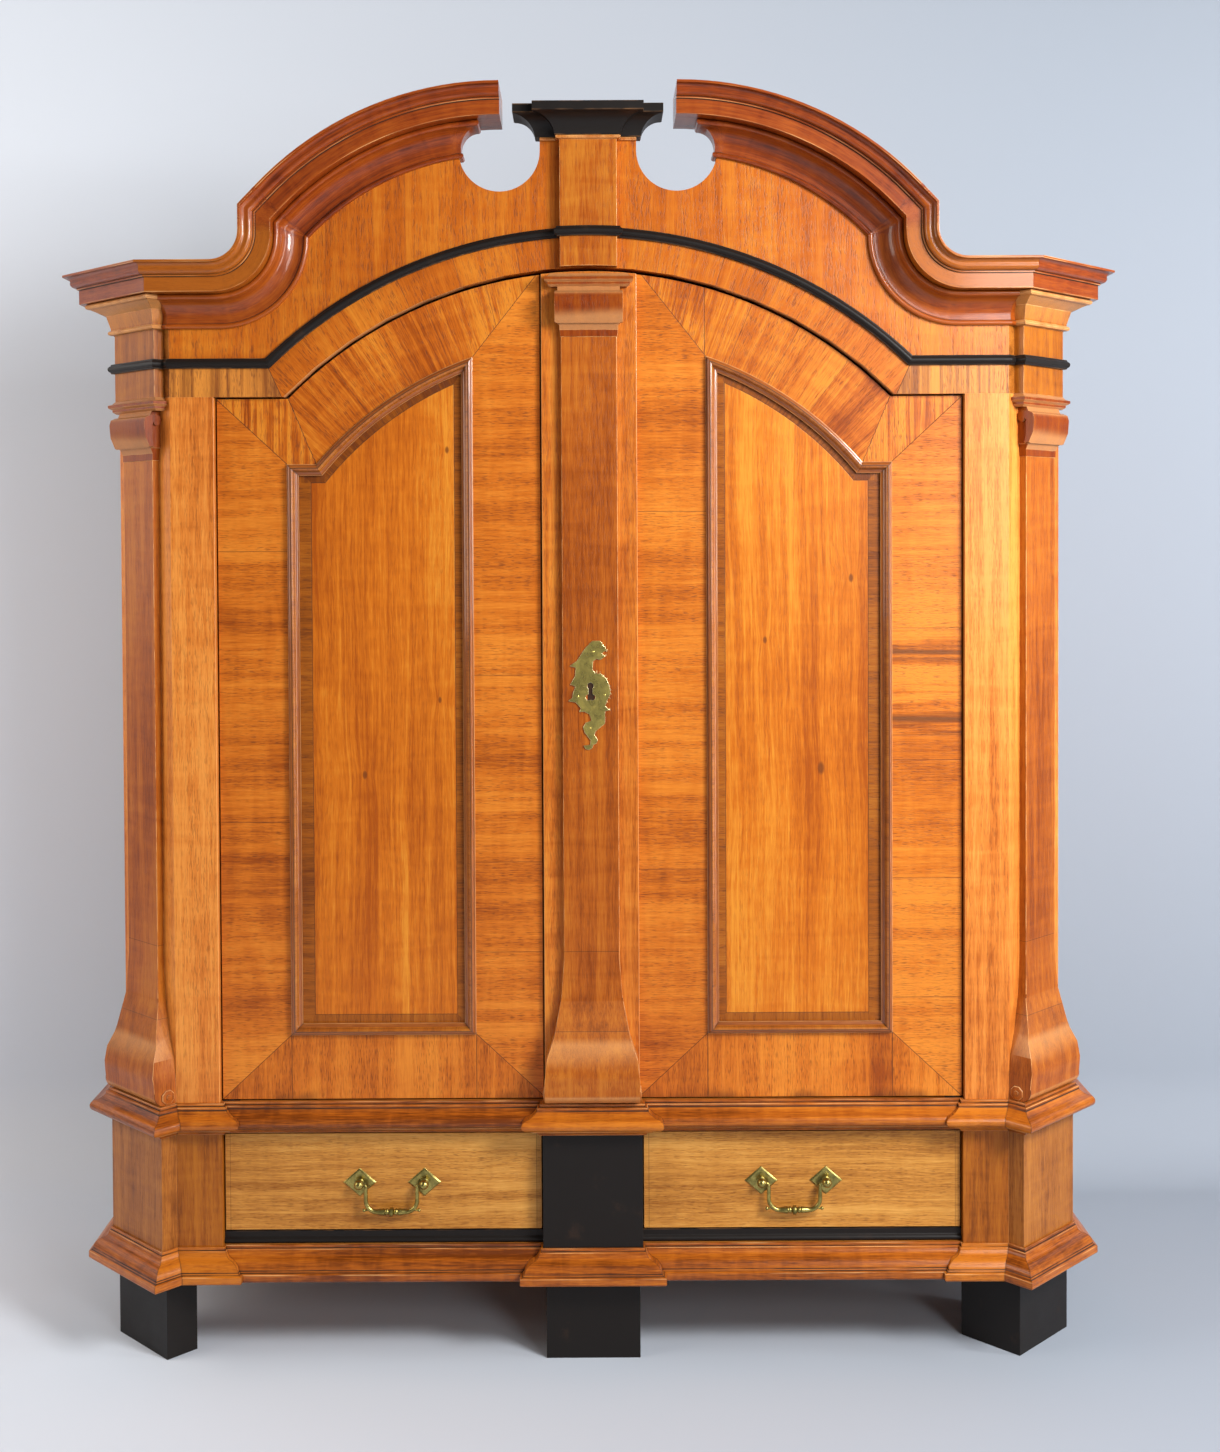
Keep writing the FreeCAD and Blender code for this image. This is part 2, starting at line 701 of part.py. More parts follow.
def cornice_profile():
    p = cornice_projection
    h = cornice_height
    crown = facet([(p - 28, cornice_bed), (p - 28, 86), (p - 24, 86), (p - 24, 90),
                   (p - 15, 92, p - 13, 98), (p - 11, 106, p - 2, 108), (p, 108), (p, h)])
    return bed_profile() + crown + [(-corona_back, h), (-corona_back, cornice_bed),
                                    (0, cornice_bed)]


def frieze_block():
    path = [(-frieze_block_half, 0), (-frieze_block_half, -frieze_block_proud),
            (frieze_block_half, -frieze_block_proud), (frieze_block_half, 0)]
    runs = plan_runs(path, bed_profile() + [(0, cornice_bed)], bed_level, 42)
    core = block(-frieze_block_half, frieze_block_half, -frieze_block_proud, 0,
                 frieze_bottom, bed_level + cornice_bed)
    return on_left_corner(fused([core] + runs))


def band_profile():
    return facet([(0, 0), (5, 0), (6, 3), (band_proud, 9, 6, 15), (5, band_height),
                  (0, band_height)], 45)


def band_plan():
    along = cant_width / 2 - frieze_block_half
    far = cant_width / 2 + frieze_block_half
    return [(-side_x, body_depth), cant_point(cant_width, 0), cant_point(far, 0),
            cant_point(far, frieze_block_proud), cant_point(along, frieze_block_proud),
            cant_point(along, 0), (-post_outer, 0)]


def make_band():
    centre = Vector(0, 0, arch_centre)
    lower = band_bottom - arch_centre
    upper = lower + band_height
    inner = math.sqrt(band_radius**2 - lower**2)
    outer = math.sqrt((band_radius + band_height)**2 - upper**2)
    level = plan_runs(band_plan() + [(-inner + 60, 0)], band_profile(), band_bottom,
                      band_proud + 2)
    slope = (outer - inner) / band_height
    keep = plate([(-1100, band_bottom - 20), (-inner + slope * 20, band_bottom - 20),
                  (-inner - slope * 60, band_bottom + 60), (-1100, band_bottom + 60)], -200, 700)
    level = [run.common(keep) for run in level]

    def arched(proud, back, x0, x1):
        profile = [(-back, 0)] + band_profile()[1:-1] + [(-back, band_height)]
        outer_turn = 90 + math.degrees(math.asin(min(1, max(-x0, x1) / band_radius)))
        sweep = bent(profile, centre - Y * proud, band_radius,
                     steps(180 - outer_turn, outer_turn, arc_turn))
        zone = plate([(x0, 1700), (x1, 1700), (x1, 2300), (x0, 2300)], -200, 200)
        return sweep.common(zone)

    arch = arched(0, 0, -inner - 30, -keystone_half)
    wedge = plate([(-inner + slope * 20, band_bottom - 20), (0, band_bottom - 20), (0, 2300),
                   (-inner - slope * 400, 2225)], -200, 200)
    arch = arch.common(wedge)
    over_keystone = arched(keystone_proud, 0, -keystone_half, keystone_half)
    ends = arched(keystone_proud, keystone_proud, -keystone_half - 8, -keystone_half)
    arch = arch.cut(ends)
    save("frieze_band", both(Part.makeCompound(level)) + both(arch) + both(ends)
         + [over_keystone])


def make_cap():
    wall = hole_centre.x + hole_radius
    height = cap_top - cap_bottom
    reach = cap_projection
    profile = facet([(0, 0), (8, 0), (9, 3), (20, 24, reach - 3, 34), (reach, 35),
                     (reach, height), (0, height)], 20)
    path = [(wall, frieze_board), (wall, 0), (-keystone_half, 0),
            (-keystone_half, -keystone_proud), (keystone_half, -keystone_proud),
            (keystone_half, 0), (-wall, 0), (-wall, frieze_board)]
    runs = plan_runs(path, profile, cap_bottom, reach + 2)
    core = block(-keystone_half, keystone_half, -keystone_proud, 0, cap_bottom, cap_top)
    lid = block(wall, -wall, 0, frieze_board, cap_top - 12, cap_top)
    save("keystone_cap", fused(runs + [core, lid]))

    bead = facet([(0, 0), (4, 0), (7.5, 3, 5, 6.5), (0, 6.5)], 60)
    beads = plan_runs(path[1:-1], bead, cap_bottom - 6.5, 10)
    save("keystone_block", fused([keystone()] + beads))


# ---------------------------------------------------------------- pediment cornice

def cornice_straight(start, direction, outward, length):
    return section(cornice_profile(), start, Vector(0, -1, 0), outward).extrude(direction * length)


def make_cornice():
    kink_z, _, mitre, along = kink_geometry(cornice_height)
    kink = Vector(kink_x, 0, kink_z)
    outward = (kink - pediment_centre).normalize()
    seam = (mitre - kink).normalize()
    far = kink + seam * 400
    near = kink - seam * 100

    start = angle_at(pediment_centre, kink_x, kink_z)
    upper = bent(cornice_profile(), pediment_centre, pediment_radius,
                 steps(80, start, arc_turn))
    tail = cornice_straight(kink, along, outward, 90)
    upper = fused([upper, tail])
    above = plate([(near.x, near.z), (far.x, far.z), (far.x, 2600), (300, 2600),
                   (300, near.z)], -300, 300)
    upper = upper.common(above).common(tip_zone())

    cove = kink_z - bed_level
    cove_centre = Vector(kink_x - cove, 0, kink_z)
    quarter = bent(cornice_profile(), cove_centre, cove, steps(-90, 0, cove_turn), -1)
    stub = cornice_straight(kink, Z, Vector(-1, 0, 0), 120)
    level = plan_runs([cant_point(cant_width, 0), (-post_outer, 0), (cove_centre.x, 0)],
                      cornice_profile(), bed_level, cornice_projection + 5, corona_back + 5)[1]
    lower = fused([level, quarter, stub])
    below = plate([(near.x, near.z), (far.x, far.z), (-1200, far.z), (-1200, 1700),
                   (near.x, 1700)], -300, 300)
    blocks = frieze_block()
    save("frieze_blocks", both(blocks))
    lower = lower.common(below).cut(blocks)
    save("cornice_left", [lower, upper])
    save("cornice_right", [mirrored(lower), mirrored(upper)])

    path = [(-side_x, body_depth), cant_point(cant_width, 0), (-post_outer, 0), (-post_outer + 50, 0)]
    runs = plan_runs(path, cornice_profile(), bed_level, cornice_projection + 5, corona_back + 5)
    returns = [run.cut(blocks) for run in runs[:2]]
    save("cornice_return_left", returns)
    save("cornice_return_right", [mirrored(r) for r in returns])


def tip_zone():
    # At the broken end the bed moulding returns round the board, and the corona is cut square.
    wall = hole_centre.x - hole_radius
    foot = height_on(pediment_centre, pediment_radius, wall)
    bed = [(wall + a, foot + b) for a, b in bed_profile()]
    outline = [(-1000, 1700), (wall, 1700)] + bed + [(tip_x, foot + cornice_bed), (tip_x, 2600),
                                                     (-1000, 2600)]
    return plate(outline, -300, 300)


# ---------------------------------------------------------------- doors

def panel_outline(inset):
    # Corners of the arched panel field of the right door, inset from the moulding's outer edge.
    x0 = panel_inner_x + inset
    x1 = panel_outer_x - inset
    z0 = panel_bottom + inset
    z1 = panel_shoulder - inset
    radius = panel_radius - inset
    shoulder = math.sqrt(radius**2 - (z1 - arch_centre)**2)
    crown = arch_centre + math.sqrt(radius**2 - x0**2)
    return [(x0, z0), (x1, z0), (x1, z1), (shoulder, z1), (x0, crown)], radius


def panel_plate(inset, y0, y1):
    corners, radius = panel_outline(inset)
    centre = Vector(0, 0, arch_centre)
    a, b = corners[3], corners[4]
    arc = arc_to(centre, radius, angle_at(centre, *a), angle_at(centre, *b))
    return plate(corners[:4] + [arc], y0, y1)


def panel_moulding():
    # Five mitred sticks round the panel; the profile rises from the frame and falls to the panel.
    outer, _ = panel_outline(0)
    inner, _ = panel_outline(panel_moulding_width)
    w = panel_moulding_width
    profile = facet([(0, 0), (0, 3), (3, 4), (8, 12, 13, 6), (16, 2, w, 0.5), (w, -5),
                     (8.2, -5), (8.2, 0)], 36)
    centre = Vector(0, 0, arch_centre)
    sticks = []
    for i in range(5):
        j = (i + 1) % 5
        p, q = Vector(outer[i][0], 0, outer[i][1]), Vector(inner[i][0], 0, inner[i][1])
        r, s = Vector(outer[j][0], 0, outer[j][1]), Vector(inner[j][0], 0, inner[j][1])
        wedge = plate([(v.x, v.z) for v in (q - (p - q) * 0.5, p + (p - q) * 4, r + (r - s) * 4,
                                            s - (r - s) * 0.5)], -50, 60)
        if i == 3:
            a0, a1 = angle_at(centre, *outer[3]), angle_at(centre, *outer[4])
            sweep = bent([(b, -a) for a, b in profile], centre + Y * door_face, panel_radius,
                         steps(a0 - 8, a1 + 8, arc_turn))
        else:
            step = (r - p).normalize()
            inward = Vector(-step.z, 0, step.x)
            face = section(profile, p - step * 60 + Y * door_face, inward, Vector(0, -1, 0))
            sweep = face.extrude(step * ((r - p).Length + 120))
        sticks.append(sweep.common(wedge))
    return sticks


def door_outline(inner_x):
    # Right door, from its meeting edge out to its hinge edge.
    centre = Vector(0, 0, arch_centre)
    bottom = waist_top + door_gap
    top = frieze_bottom - door_gap
    shoulder = math.sqrt(door_radius**2 - (top - arch_centre)**2)
    crown = height_on(centre, door_radius, inner_x)
    return [(inner_x, bottom), (door_edge, bottom), (door_edge, top), (shoulder, top),
            arc_to(centre, door_radius, angle_at(centre, shoulder, top),
                   angle_at(centre, inner_x, crown))]


def hinge_pins():
    x = door_edge - hinge_inset
    pins = []
    for z0 in (waist_top - 8, frieze_bottom - 22):
        pins.append(Part.makeCylinder(pin_radius, 30, Vector(x, hinge_depth, z0)))
    return pins


def door(inner_x):
    frame = plate(door_outline(inner_x), door_face, door_face + door_thickness)
    frame = frame.cut(panel_plate(8, door_face - 1, door_face + door_thickness + 1))
    frame = frame.cut(panel_plate(2, door_face + 6, door_face + 6 + thin_board))
    for pin in hinge_pins():
        frame = frame.cut(pin)
    return frame


def make_doors():
    panel = panel_plate(2, door_face + 6, door_face + 6 + thin_board)
    left_meeting = strip_half + door_gap
    save("right_door_frame", door(-strip_half))
    save("right_door_panel", panel)
    save("right_panel_moulding", panel_moulding())
    save("right_hinge_pins", hinge_pins())
    save("left_door_frame", mirrored(door(left_meeting)))
    save("left_door_panel", mirrored(panel))
    save("left_panel_moulding", [mirrored(s) for s in panel_moulding()])
    save("left_hinge_pins", [mirrored(s) for s in hinge_pins()])

    centre = Vector(0, 0, arch_centre)
    bottom = waist_top + door_gap
    left = height_on(centre, door_radius, strip_half)
    outline = [(-strip_half, bottom), (strip_half, bottom), (strip_half, left),
               (0, arch_centre + door_radius, -strip_half, left)]
    save("closing_strip", plate(outline, strip_face, door_face))
    top = left - 2
    save("centre_pilaster", moved(pilaster(bottom + 1, top - capital_height), 0, strip_face, 0))
    save("centre_capital", moved(capital(top), 0, strip_face, 0))


# ---------------------------------------------------------------- lock

def make_lock():
    face = strip_face - shaft_proud
    z = keyhole_height
    # Clockwise from the comb at the top, measured from the keyhole.
    outline = [(18, 94), (4, 94), (-8, 82), (-18, 68, -24, 58), (-38, 48), (-27, 45), (-28, 30),
               (-36.5, 14), (-27, 10), (-32, -1), (-33, -10), (-41, -16), (-27, -19), (-18, -29),
               (-20.5, -36), (-10, -36, -3, -40), (0, -46, 1, -52), (-9, -56), (-14, -66, -11, -74),
               (0, -89), (-1, -96.5), (-13, -98), (-3, -106, 5, -96.5), (12, -92, 10.6, -83),
               (7, -78, 9, -72), (22, -64, 26.6, -35), (35, -33), (27, -26), (30, -16),
               (37, -3, 35, 11), (30, 24, 19, 34), (7, 36, 4.6, 49), (7, 59, 18, 59), (27, 65),
               (21, 71), (30, 77.5), (24, 86)]
    keyhole = [(0, 18), (5.8, 13, 3.8, 6), (3.8, -4), (9, -9, 0, -14), (-9, -9, -3.8, -4),
               (-3.8, 6), (-5.8, 13, 0, 18)]
    blade = section(facet(outline, 45), Vector(0, face - 2.5, z), X, Z).extrude(Y * 2.5)
    hole = section(facet(keyhole), Vector(0, face - 4, z), X, Z).extrude(Y * 6)
    save("escutcheon", blade.cut(hole))
    back = door_face + door_thickness
    case = block(-84, 36, back, back + 18, z - 45, z + 45)
    slot = block(-85, -10, back + 4, back + 14, z - 12.3, z + 12.3)
    save("lock_case", case.cut(slot))
    save("lock_bolt", block(-85, -25, back + 4.3, back + 13.7, z - 12, z + 12))


os.makedirs("parts", exist_ok=True)
make_feet()
save_moulding("base_moulding", base_mouldings())
save_moulding("waist_moulding", waist_mouldings())
make_base()
make_drawer_frame()
make_drawers()
make_carcass()
make_pilasters()
make_frieze()
make_band()
make_cap()
make_cornice()
make_doors()
make_lock()
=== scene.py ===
import json
import math
import random

import bmesh
import bpy
from mathutils import Matrix, Vector

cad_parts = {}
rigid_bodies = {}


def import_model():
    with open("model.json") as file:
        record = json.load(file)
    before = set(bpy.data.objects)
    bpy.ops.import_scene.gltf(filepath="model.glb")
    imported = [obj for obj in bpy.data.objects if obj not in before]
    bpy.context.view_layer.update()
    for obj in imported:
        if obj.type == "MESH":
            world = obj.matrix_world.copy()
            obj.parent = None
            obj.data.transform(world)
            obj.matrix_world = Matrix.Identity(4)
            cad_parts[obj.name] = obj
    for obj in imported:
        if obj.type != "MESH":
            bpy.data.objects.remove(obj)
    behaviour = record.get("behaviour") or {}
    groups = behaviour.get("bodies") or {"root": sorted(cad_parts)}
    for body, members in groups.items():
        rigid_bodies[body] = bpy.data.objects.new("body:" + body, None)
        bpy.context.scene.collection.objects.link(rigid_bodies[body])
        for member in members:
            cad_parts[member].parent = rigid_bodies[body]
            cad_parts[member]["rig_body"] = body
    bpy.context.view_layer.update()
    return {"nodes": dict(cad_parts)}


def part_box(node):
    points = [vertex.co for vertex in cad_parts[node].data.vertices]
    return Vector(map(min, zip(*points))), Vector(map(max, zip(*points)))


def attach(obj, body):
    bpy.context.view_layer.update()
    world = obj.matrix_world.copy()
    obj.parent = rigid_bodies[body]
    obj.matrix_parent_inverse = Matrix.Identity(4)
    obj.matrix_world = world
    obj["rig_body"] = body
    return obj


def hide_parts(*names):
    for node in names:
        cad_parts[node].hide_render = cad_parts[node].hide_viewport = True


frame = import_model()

# A two-door kas with canted corners, an arched head and a broken pediment, in french polished
# walnut veneer and solid walnut, with ebonised feet and bands and brass handles.
# Materials, nails and the studio are sized in metres, other pieces in millimetres with y from
# the front plane of the corner posts, which lies at frontY.

nodes = frame["nodes"]
scene = bpy.context.scene
scene.view_settings.view_transform = "Standard"
frontY = -0.2525


# Shader maths: a Wire is one value on its way through a material's nodes.

class Wire:
    def __init__(self, tree, socket):
        self.tree = tree
        self.socket = socket

    def maths(self, operation, *values):
        return addNode(self.tree, "ShaderNodeMath", {"operation": operation},
                       dict(enumerate((self, *values))))

    def __add__(self, other):
        return self.maths("ADD", other)

    def __sub__(self, other):
        return self.maths("SUBTRACT", other)

    def __mul__(self, other):
        return self.maths("MULTIPLY", other)

    def __truediv__(self, other):
        return self.maths("DIVIDE", other)

    def __rsub__(self, other):
        return self.maths("MULTIPLY", -1.0) + other

    def __abs__(self):
        return self.maths("ABSOLUTE")

    __radd__ = __add__
    __rmul__ = __mul__

    def between(self, low, high):    # 0 at low and 1 at high, with soft ends
        settings = {"interpolation_type": "SMOOTHSTEP"}
        return addNode(self.tree, "ShaderNodeMapRange", settings, {0: self, 1: low, 2: high})

    def above(self, edge):
        return self.maths("GREATER_THAN", edge)

    def below(self, edge):
        return self.maths("LESS_THAN", edge)

    def lesser(self, other):
        return self.maths("MINIMUM", other)

    def greater(self, other):
        return self.maths("MAXIMUM", other)


def addNode(tree, kind, settings=None, inputs=None, output=0):
    node = tree.nodes.new(kind)
    for key, value in (settings or {}).items():
        if key == "stops":
            elements = node.color_ramp.elements
            while len(elements) < len(value):
                elements.new(1.0)
            for element, (place, colour) in zip(elements, value):
                element.position = place
                element.color = (*colour, 1.0)
        else:
            setattr(node, key, value)
    for key, value in (inputs or {}).items():
        socket = node.inputs[key]
        if isinstance(value, Wire):
            tree.links.new(value.socket, socket)
        elif isinstance(value, tuple) and len(socket.default_value) == 4:
            socket.default_value = (*value, 1.0)
        else:
            socket.default_value = value
    return Wire(tree, node.outputs[output] if len(node.outputs) else None)


def addObject(name, data):
    made = bpy.data.objects.new(name, data)
    scene.collection.objects.link(made)
    return made


def mixColours(factor, first, second):
    return addNode(factor.tree, "ShaderNodeMix", {"data_type": "RGBA"},
                   {0: factor, 6: first, 7: second}, 2)


def mixVectors(factor, first, second):
    return addNode(factor.tree, "ShaderNodeMix", {"data_type": "VECTOR"},
                   {0: factor, 4: first, 5: second}, 1)


def makeVector(x, y, z):
    tree = [value for value in (x, y, z) if isinstance(value, Wire)][0].tree
    return addNode(tree, "ShaderNodeCombineXYZ", None, {0: x, 1: y, 2: z})


def splitVector(vector):
    first = addNode(vector.tree, "ShaderNodeSeparateXYZ", None, {0: vector})
    return [Wire(vector.tree, socket) for socket in first.socket.node.outputs]


def vectorMaths(operation, first, second, output=0):
    key = "Scale" if operation == "SCALE" else 1
    return addNode(first.tree, "ShaderNodeVectorMath", {"operation": operation},
                   {0: first, key: second}, output)


def noise(vector, scale, detail, roughness=0.5, distortion=0.0):
    return addNode(vector.tree, "ShaderNodeTexNoise", None,
                   {"Vector": vector, "Scale": scale, "Detail": detail,
                    "Roughness": roughness, "Distortion": distortion})


def stretchedNoise(vector, factors, detail=2.0, roughness=0.5, distortion=0.0):
    return noise(vectorMaths("MULTIPLY", vector, factors), 1.0, detail, roughness, distortion)


def startMaterial(name):
    material = bpy.data.materials.new(name)
    material.use_nodes = True
    tree = material.node_tree
    tree.nodes.clear()
    return material, tree


def objectPlace(tree):
    return addNode(tree, "ShaderNodeTexCoord", None, None, 3)


def ownValue(tree, name, output=2):    # 1 is a vector, 2 a number
    return addNode(tree, "ShaderNodeAttribute", {"attribute_name": name}, None, output)


def finishMaterial(tree, sockets, height=None, bump=0.3, relief=0.0006):
    if height is not None:
        sockets["Normal"] = addNode(tree, "ShaderNodeBump", None,
                                    {"Strength": bump, "Distance": relief, "Height": height})
    surface = addNode(tree, "ShaderNodeBsdfPrincipled", None, sockets)
    addNode(tree, "ShaderNodeOutputMaterial", None, {"Surface": surface})


# Walnut. A grain vector runs along the fibres in x and across them in y and z, in metres.

walnut = {
    "stile": ((0.279, 0.054, 0.004), (0.539, 0.135, 0.010), (0.688, 0.221, 0.023)),
    "panel": ((0.355, 0.072, 0.004), (0.548, 0.140, 0.008), (0.678, 0.245, 0.023)),
    "border": ((0.139, 0.032, 0.005), (0.326, 0.088, 0.007), (0.441, 0.155, 0.018)),
    "arch": ((0.265, 0.049, 0.003), (0.468, 0.108, 0.007), (0.624, 0.204, 0.018)),
    "post": ((0.420, 0.098, 0.011), (0.638, 0.189, 0.027), (0.766, 0.282, 0.051)),
    "shaft": ((0.224, 0.043, 0.003), (0.374, 0.087, 0.007), (0.479, 0.143, 0.014)),
    "drawer": ((0.332, 0.114, 0.014), (0.538, 0.224, 0.037), (0.684, 0.334, 0.071)),
    "cornice": ((0.091, 0.012, 0.002), (0.231, 0.036, 0.003), (0.329, 0.067, 0.006)),
    "moulding": ((0.139, 0.029, 0.003), (0.362, 0.088, 0.007), (0.534, 0.156, 0.012)),
    "trim": ((0.130, 0.028, 0.004), (0.260, 0.066, 0.009), (0.400, 0.120, 0.018)),
    "strip": ((0.361, 0.078, 0.006), (0.549, 0.148, 0.015), (0.659, 0.223, 0.027)),
    "capital": ((0.128, 0.017, 0.002), (0.215, 0.034, 0.002), (0.275, 0.057, 0.003)),
    "basePost": ((0.171, 0.039, 0.002), (0.329, 0.089, 0.006), (0.424, 0.134, 0.010)),
    "keystone": ((0.207, 0.038, 0.002), (0.365, 0.082, 0.006), (0.486, 0.156, 0.015)),
    "base": ((0.181, 0.048, 0.005), (0.347, 0.110, 0.014), (0.448, 0.165, 0.024)),
}


def walnutTone(grain, figure, bandWidth=55.0):
    # The shade from 0 to 1, the fine fibres and the dark open pores of a surface.
    clouds = stretchedNoise(grain, (1.1, 7.0, 7.0))
    bands = stretchedNoise(grain, (1.7, bandWidth, bandWidth), 3.0, 0.6, 0.35)
    fibres = stretchedNoise(grain, (20.0, 330.0, 330.0), 2.0, 0.7)
    shimmer = stretchedNoise(grain, (34.0, 7.0, 7.0), 2.0, 0.5, 0.8)
    pores = stretchedNoise(grain, (65.0, 580.0, 580.0), 1.0, 0.6)
    tone = (0.52 + (clouds - 0.5) * 0.75 + (bands - 0.5) * 0.7 + (fibres - 0.5) * 0.6
            + (shimmer - 0.5) * figure)
    return tone, fibres, pores.between(0.52, 0.68) * bands.between(0.72, 0.40)


def shaded(tone, shades):
    stops = tuple(zip((0.1, 0.5, 0.9), shades))
    return addNode(tone.tree, "ShaderNodeValToRGB", {"stops": stops}, {0: tone})


def polished(tree, colour, fibres, fleck, dirt=None, bare=None, gloss=0.06):
    # French polish: soft gloss, dull where it is dirty or darkened with painted shade, or rubbed
    # through.
    colour = mixColours(fleck * 0.62, colour, (0.12, 0.028, 0.005))
    height = fibres * 0.5 - fleck
    rough = 0.27 + fibres * 0.10 + fleck * 0.2
    if dirt is not None:
        colour = mixColours(dirt, colour, (0.035, 0.014, 0.006))
        height = height - dirt * 1.5
        rough = rough + dirt * 0.3
    if bare is not None:
        colour = mixColours(bare, colour, (0.80, 0.42, 0.16))
        rough = rough + bare * 0.08
    finishMaterial(tree, {"Base Color": colour, "Roughness": rough, "Coat Weight": gloss,
                          "Coat Roughness": 0.09, "Specular IOR Level": 0.22}, height, 0.3)


def arrisWear(tree):
    # Rubbed edges of a plain board: the eased faces look off the board's own directions.
    look = addNode(tree, "ShaderNodeTexCoord", None, None, 1)
    x, y, z = [abs(part) for part in splitVector(look)]
    slants = [abs(vectorMaths("DOT_PRODUCT", look, (0.7071, other, 0.0), 1))
              for other in (0.7071, -0.7071)]
    square = x.greater(y).greater(z).greater(slants[0]).greater(slants[1])
    return 1.0 - square.between(0.94, 0.995)


def grainAlong(tree, along):
    turn = Vector(along).to_track_quat("X", "Z").to_euler()
    return addNode(tree, "ShaderNodeMapping", {"vector_type": "TEXTURE"},
                   {"Vector": objectPlace(tree), "Rotation": tuple(turn)})


def line(value, place, half):    # a thin joint where a value passes a place
    return 1.0 - abs(value - place).between(half * 0.4, half)


# The keyhole is not bored: the wood behind it, in front of face, is painted dark as painted shade.
keyhole = {"x": 0.001, "z": 1.232, "half": 0.0062, "squeeze": 0.35, "face": -0.2580}


def boardWalnut(name, along, shades, figure=0.3, joints=()):
    # A board or post whose fibres run along one direction. One with joints at some heights also
    # has the keyhole's painted shade.
    material, tree = startMaterial(name)
    grain = grainAlong(tree, along)
    tone, fibres, fleck = walnutTone(grain, figure)
    tone = (tone - 0.5) * 1.8 + 0.5
    x, y, z = splitVector(objectPlace(tree))
    middle = abs(x).below(0.2)
    # Darker in the hollows (crease): dirt and painted shade, broken up by noise.
    seamsAndShade = ownValue(tree, "crease") * noise(grain, 14.0, 3.0).between(0.3, 0.6) * 0.85
    for place, inMiddle, change in joints:
        here = middle if inMiddle else 1.0 - middle
        seamsAndShade = seamsAndShade.greater(line(z, place, 0.0009) * here * 0.55)
        tone = tone + z.below(place) * here * change
    # Painted shade: a dark keyhole shape stands for the hole.
    if joints:
        away = abs(x - keyhole["x"]).greater(abs(z - keyhole["z"]) * keyhole["squeeze"])
        seamsAndShade = seamsAndShade.greater(away.below(keyhole["half"]) * y.below(keyhole["face"]))
    bare = (ownValue(tree, "wear") * noise(grain, 40.0, 3.0).between(0.35, 0.6)).greater(
        arrisWear(tree) * 0.5) * (1.0 - ownValue(tree, "crease")) * 0.7
    polished(tree, shaded(tone, shades), fibres, fleck * 0.6, seamsAndShade, bare)
    return material


def stickWalnut(name, shades, gloss=0.25):
    # Solid walnut on a finished piece that carries its own grain, crease and wear values.
    material, tree = startMaterial(name)
    grain = ownValue(tree, "grain", 1)
    tone, fibres, fleck = walnutTone(grain, 0.3)
    leaf = ownValue(tree, "leaf")
    tone = (tone - 0.5) * 1.9 + leaf.lesser(1.0) * 0.5 + 0.25
    blotch = stretchedNoise(grain, (8.0, 60.0, 60.0))
    # Darker in the hollows and at the mitre joints: dirt and painted shade.
    dirt = ownValue(tree, "crease").between(0.1, 0.9) * blotch.between(0.2, 0.55) * 0.95
    bare = ownValue(tree, "wear").between(0.3, 1.0) * blotch.between(0.4, 0.7) * 0.75
    colour = mixColours(leaf.between(1.0, 2.0) * 0.8, shaded(tone, shades), (0.42, 0.14, 0.010))
    polished(tree, colour, fibres, fleck * 0.6, dirt, bare, gloss)
    return material


def trimWalnut():
    # The panel's raised bead, and the crossbanding on the slope inside it.
    material, tree = startMaterial("walnutTrim")
    grain = ownValue(tree, "grain", 1)
    along, girth, depth = splitVector(grain)
    first, last = 0.0185, 0.0305    # the girths between which the slope lies
    slope = girth.above(first) * girth.below(last)
    tone, fibres, fleck = walnutTone(mixVectors(slope, grain, makeVector(girth, along, depth)),
                                     0.3)
    # Darker in the hollows (dirt and painted shade) and along the line where the bead meets the
    # slope.
    dirt = ownValue(tree, "crease").greater(line(girth, first, 0.0012) * 0.8) * 0.9
    bare = ownValue(tree, "wear") * stretchedNoise(grain, (30.0, 60.0, 60.0))
    colour = mixColours(slope, shaded(tone, walnut["trim"]), shaded(tone, walnut["border"]))
    polished(tree, colour, fibres, fleck * 0.6, dirt, bare, 0.9)
    return material


archHeight = 1.221


def archPlace(side, z):
    # Height over the centre of the doors' arcs, distance from it and angle round it.
    rise = z - archHeight
    return rise, (side * side + rise * rise).maths("SQRT"), side.maths("ARCTAN2", rise)


def addJoints(seamsAndShade, leaf, measure, joints, where, shown, half):
    # A thin seam at each place along a measure, and another tone beyond it.
    for place, change in joints:
        seamsAndShade = seamsAndShade.greater(line(measure, place, half) * shown)
        leaf = leaf + measure.above(place) * where * change
    return seamsAndShade, leaf


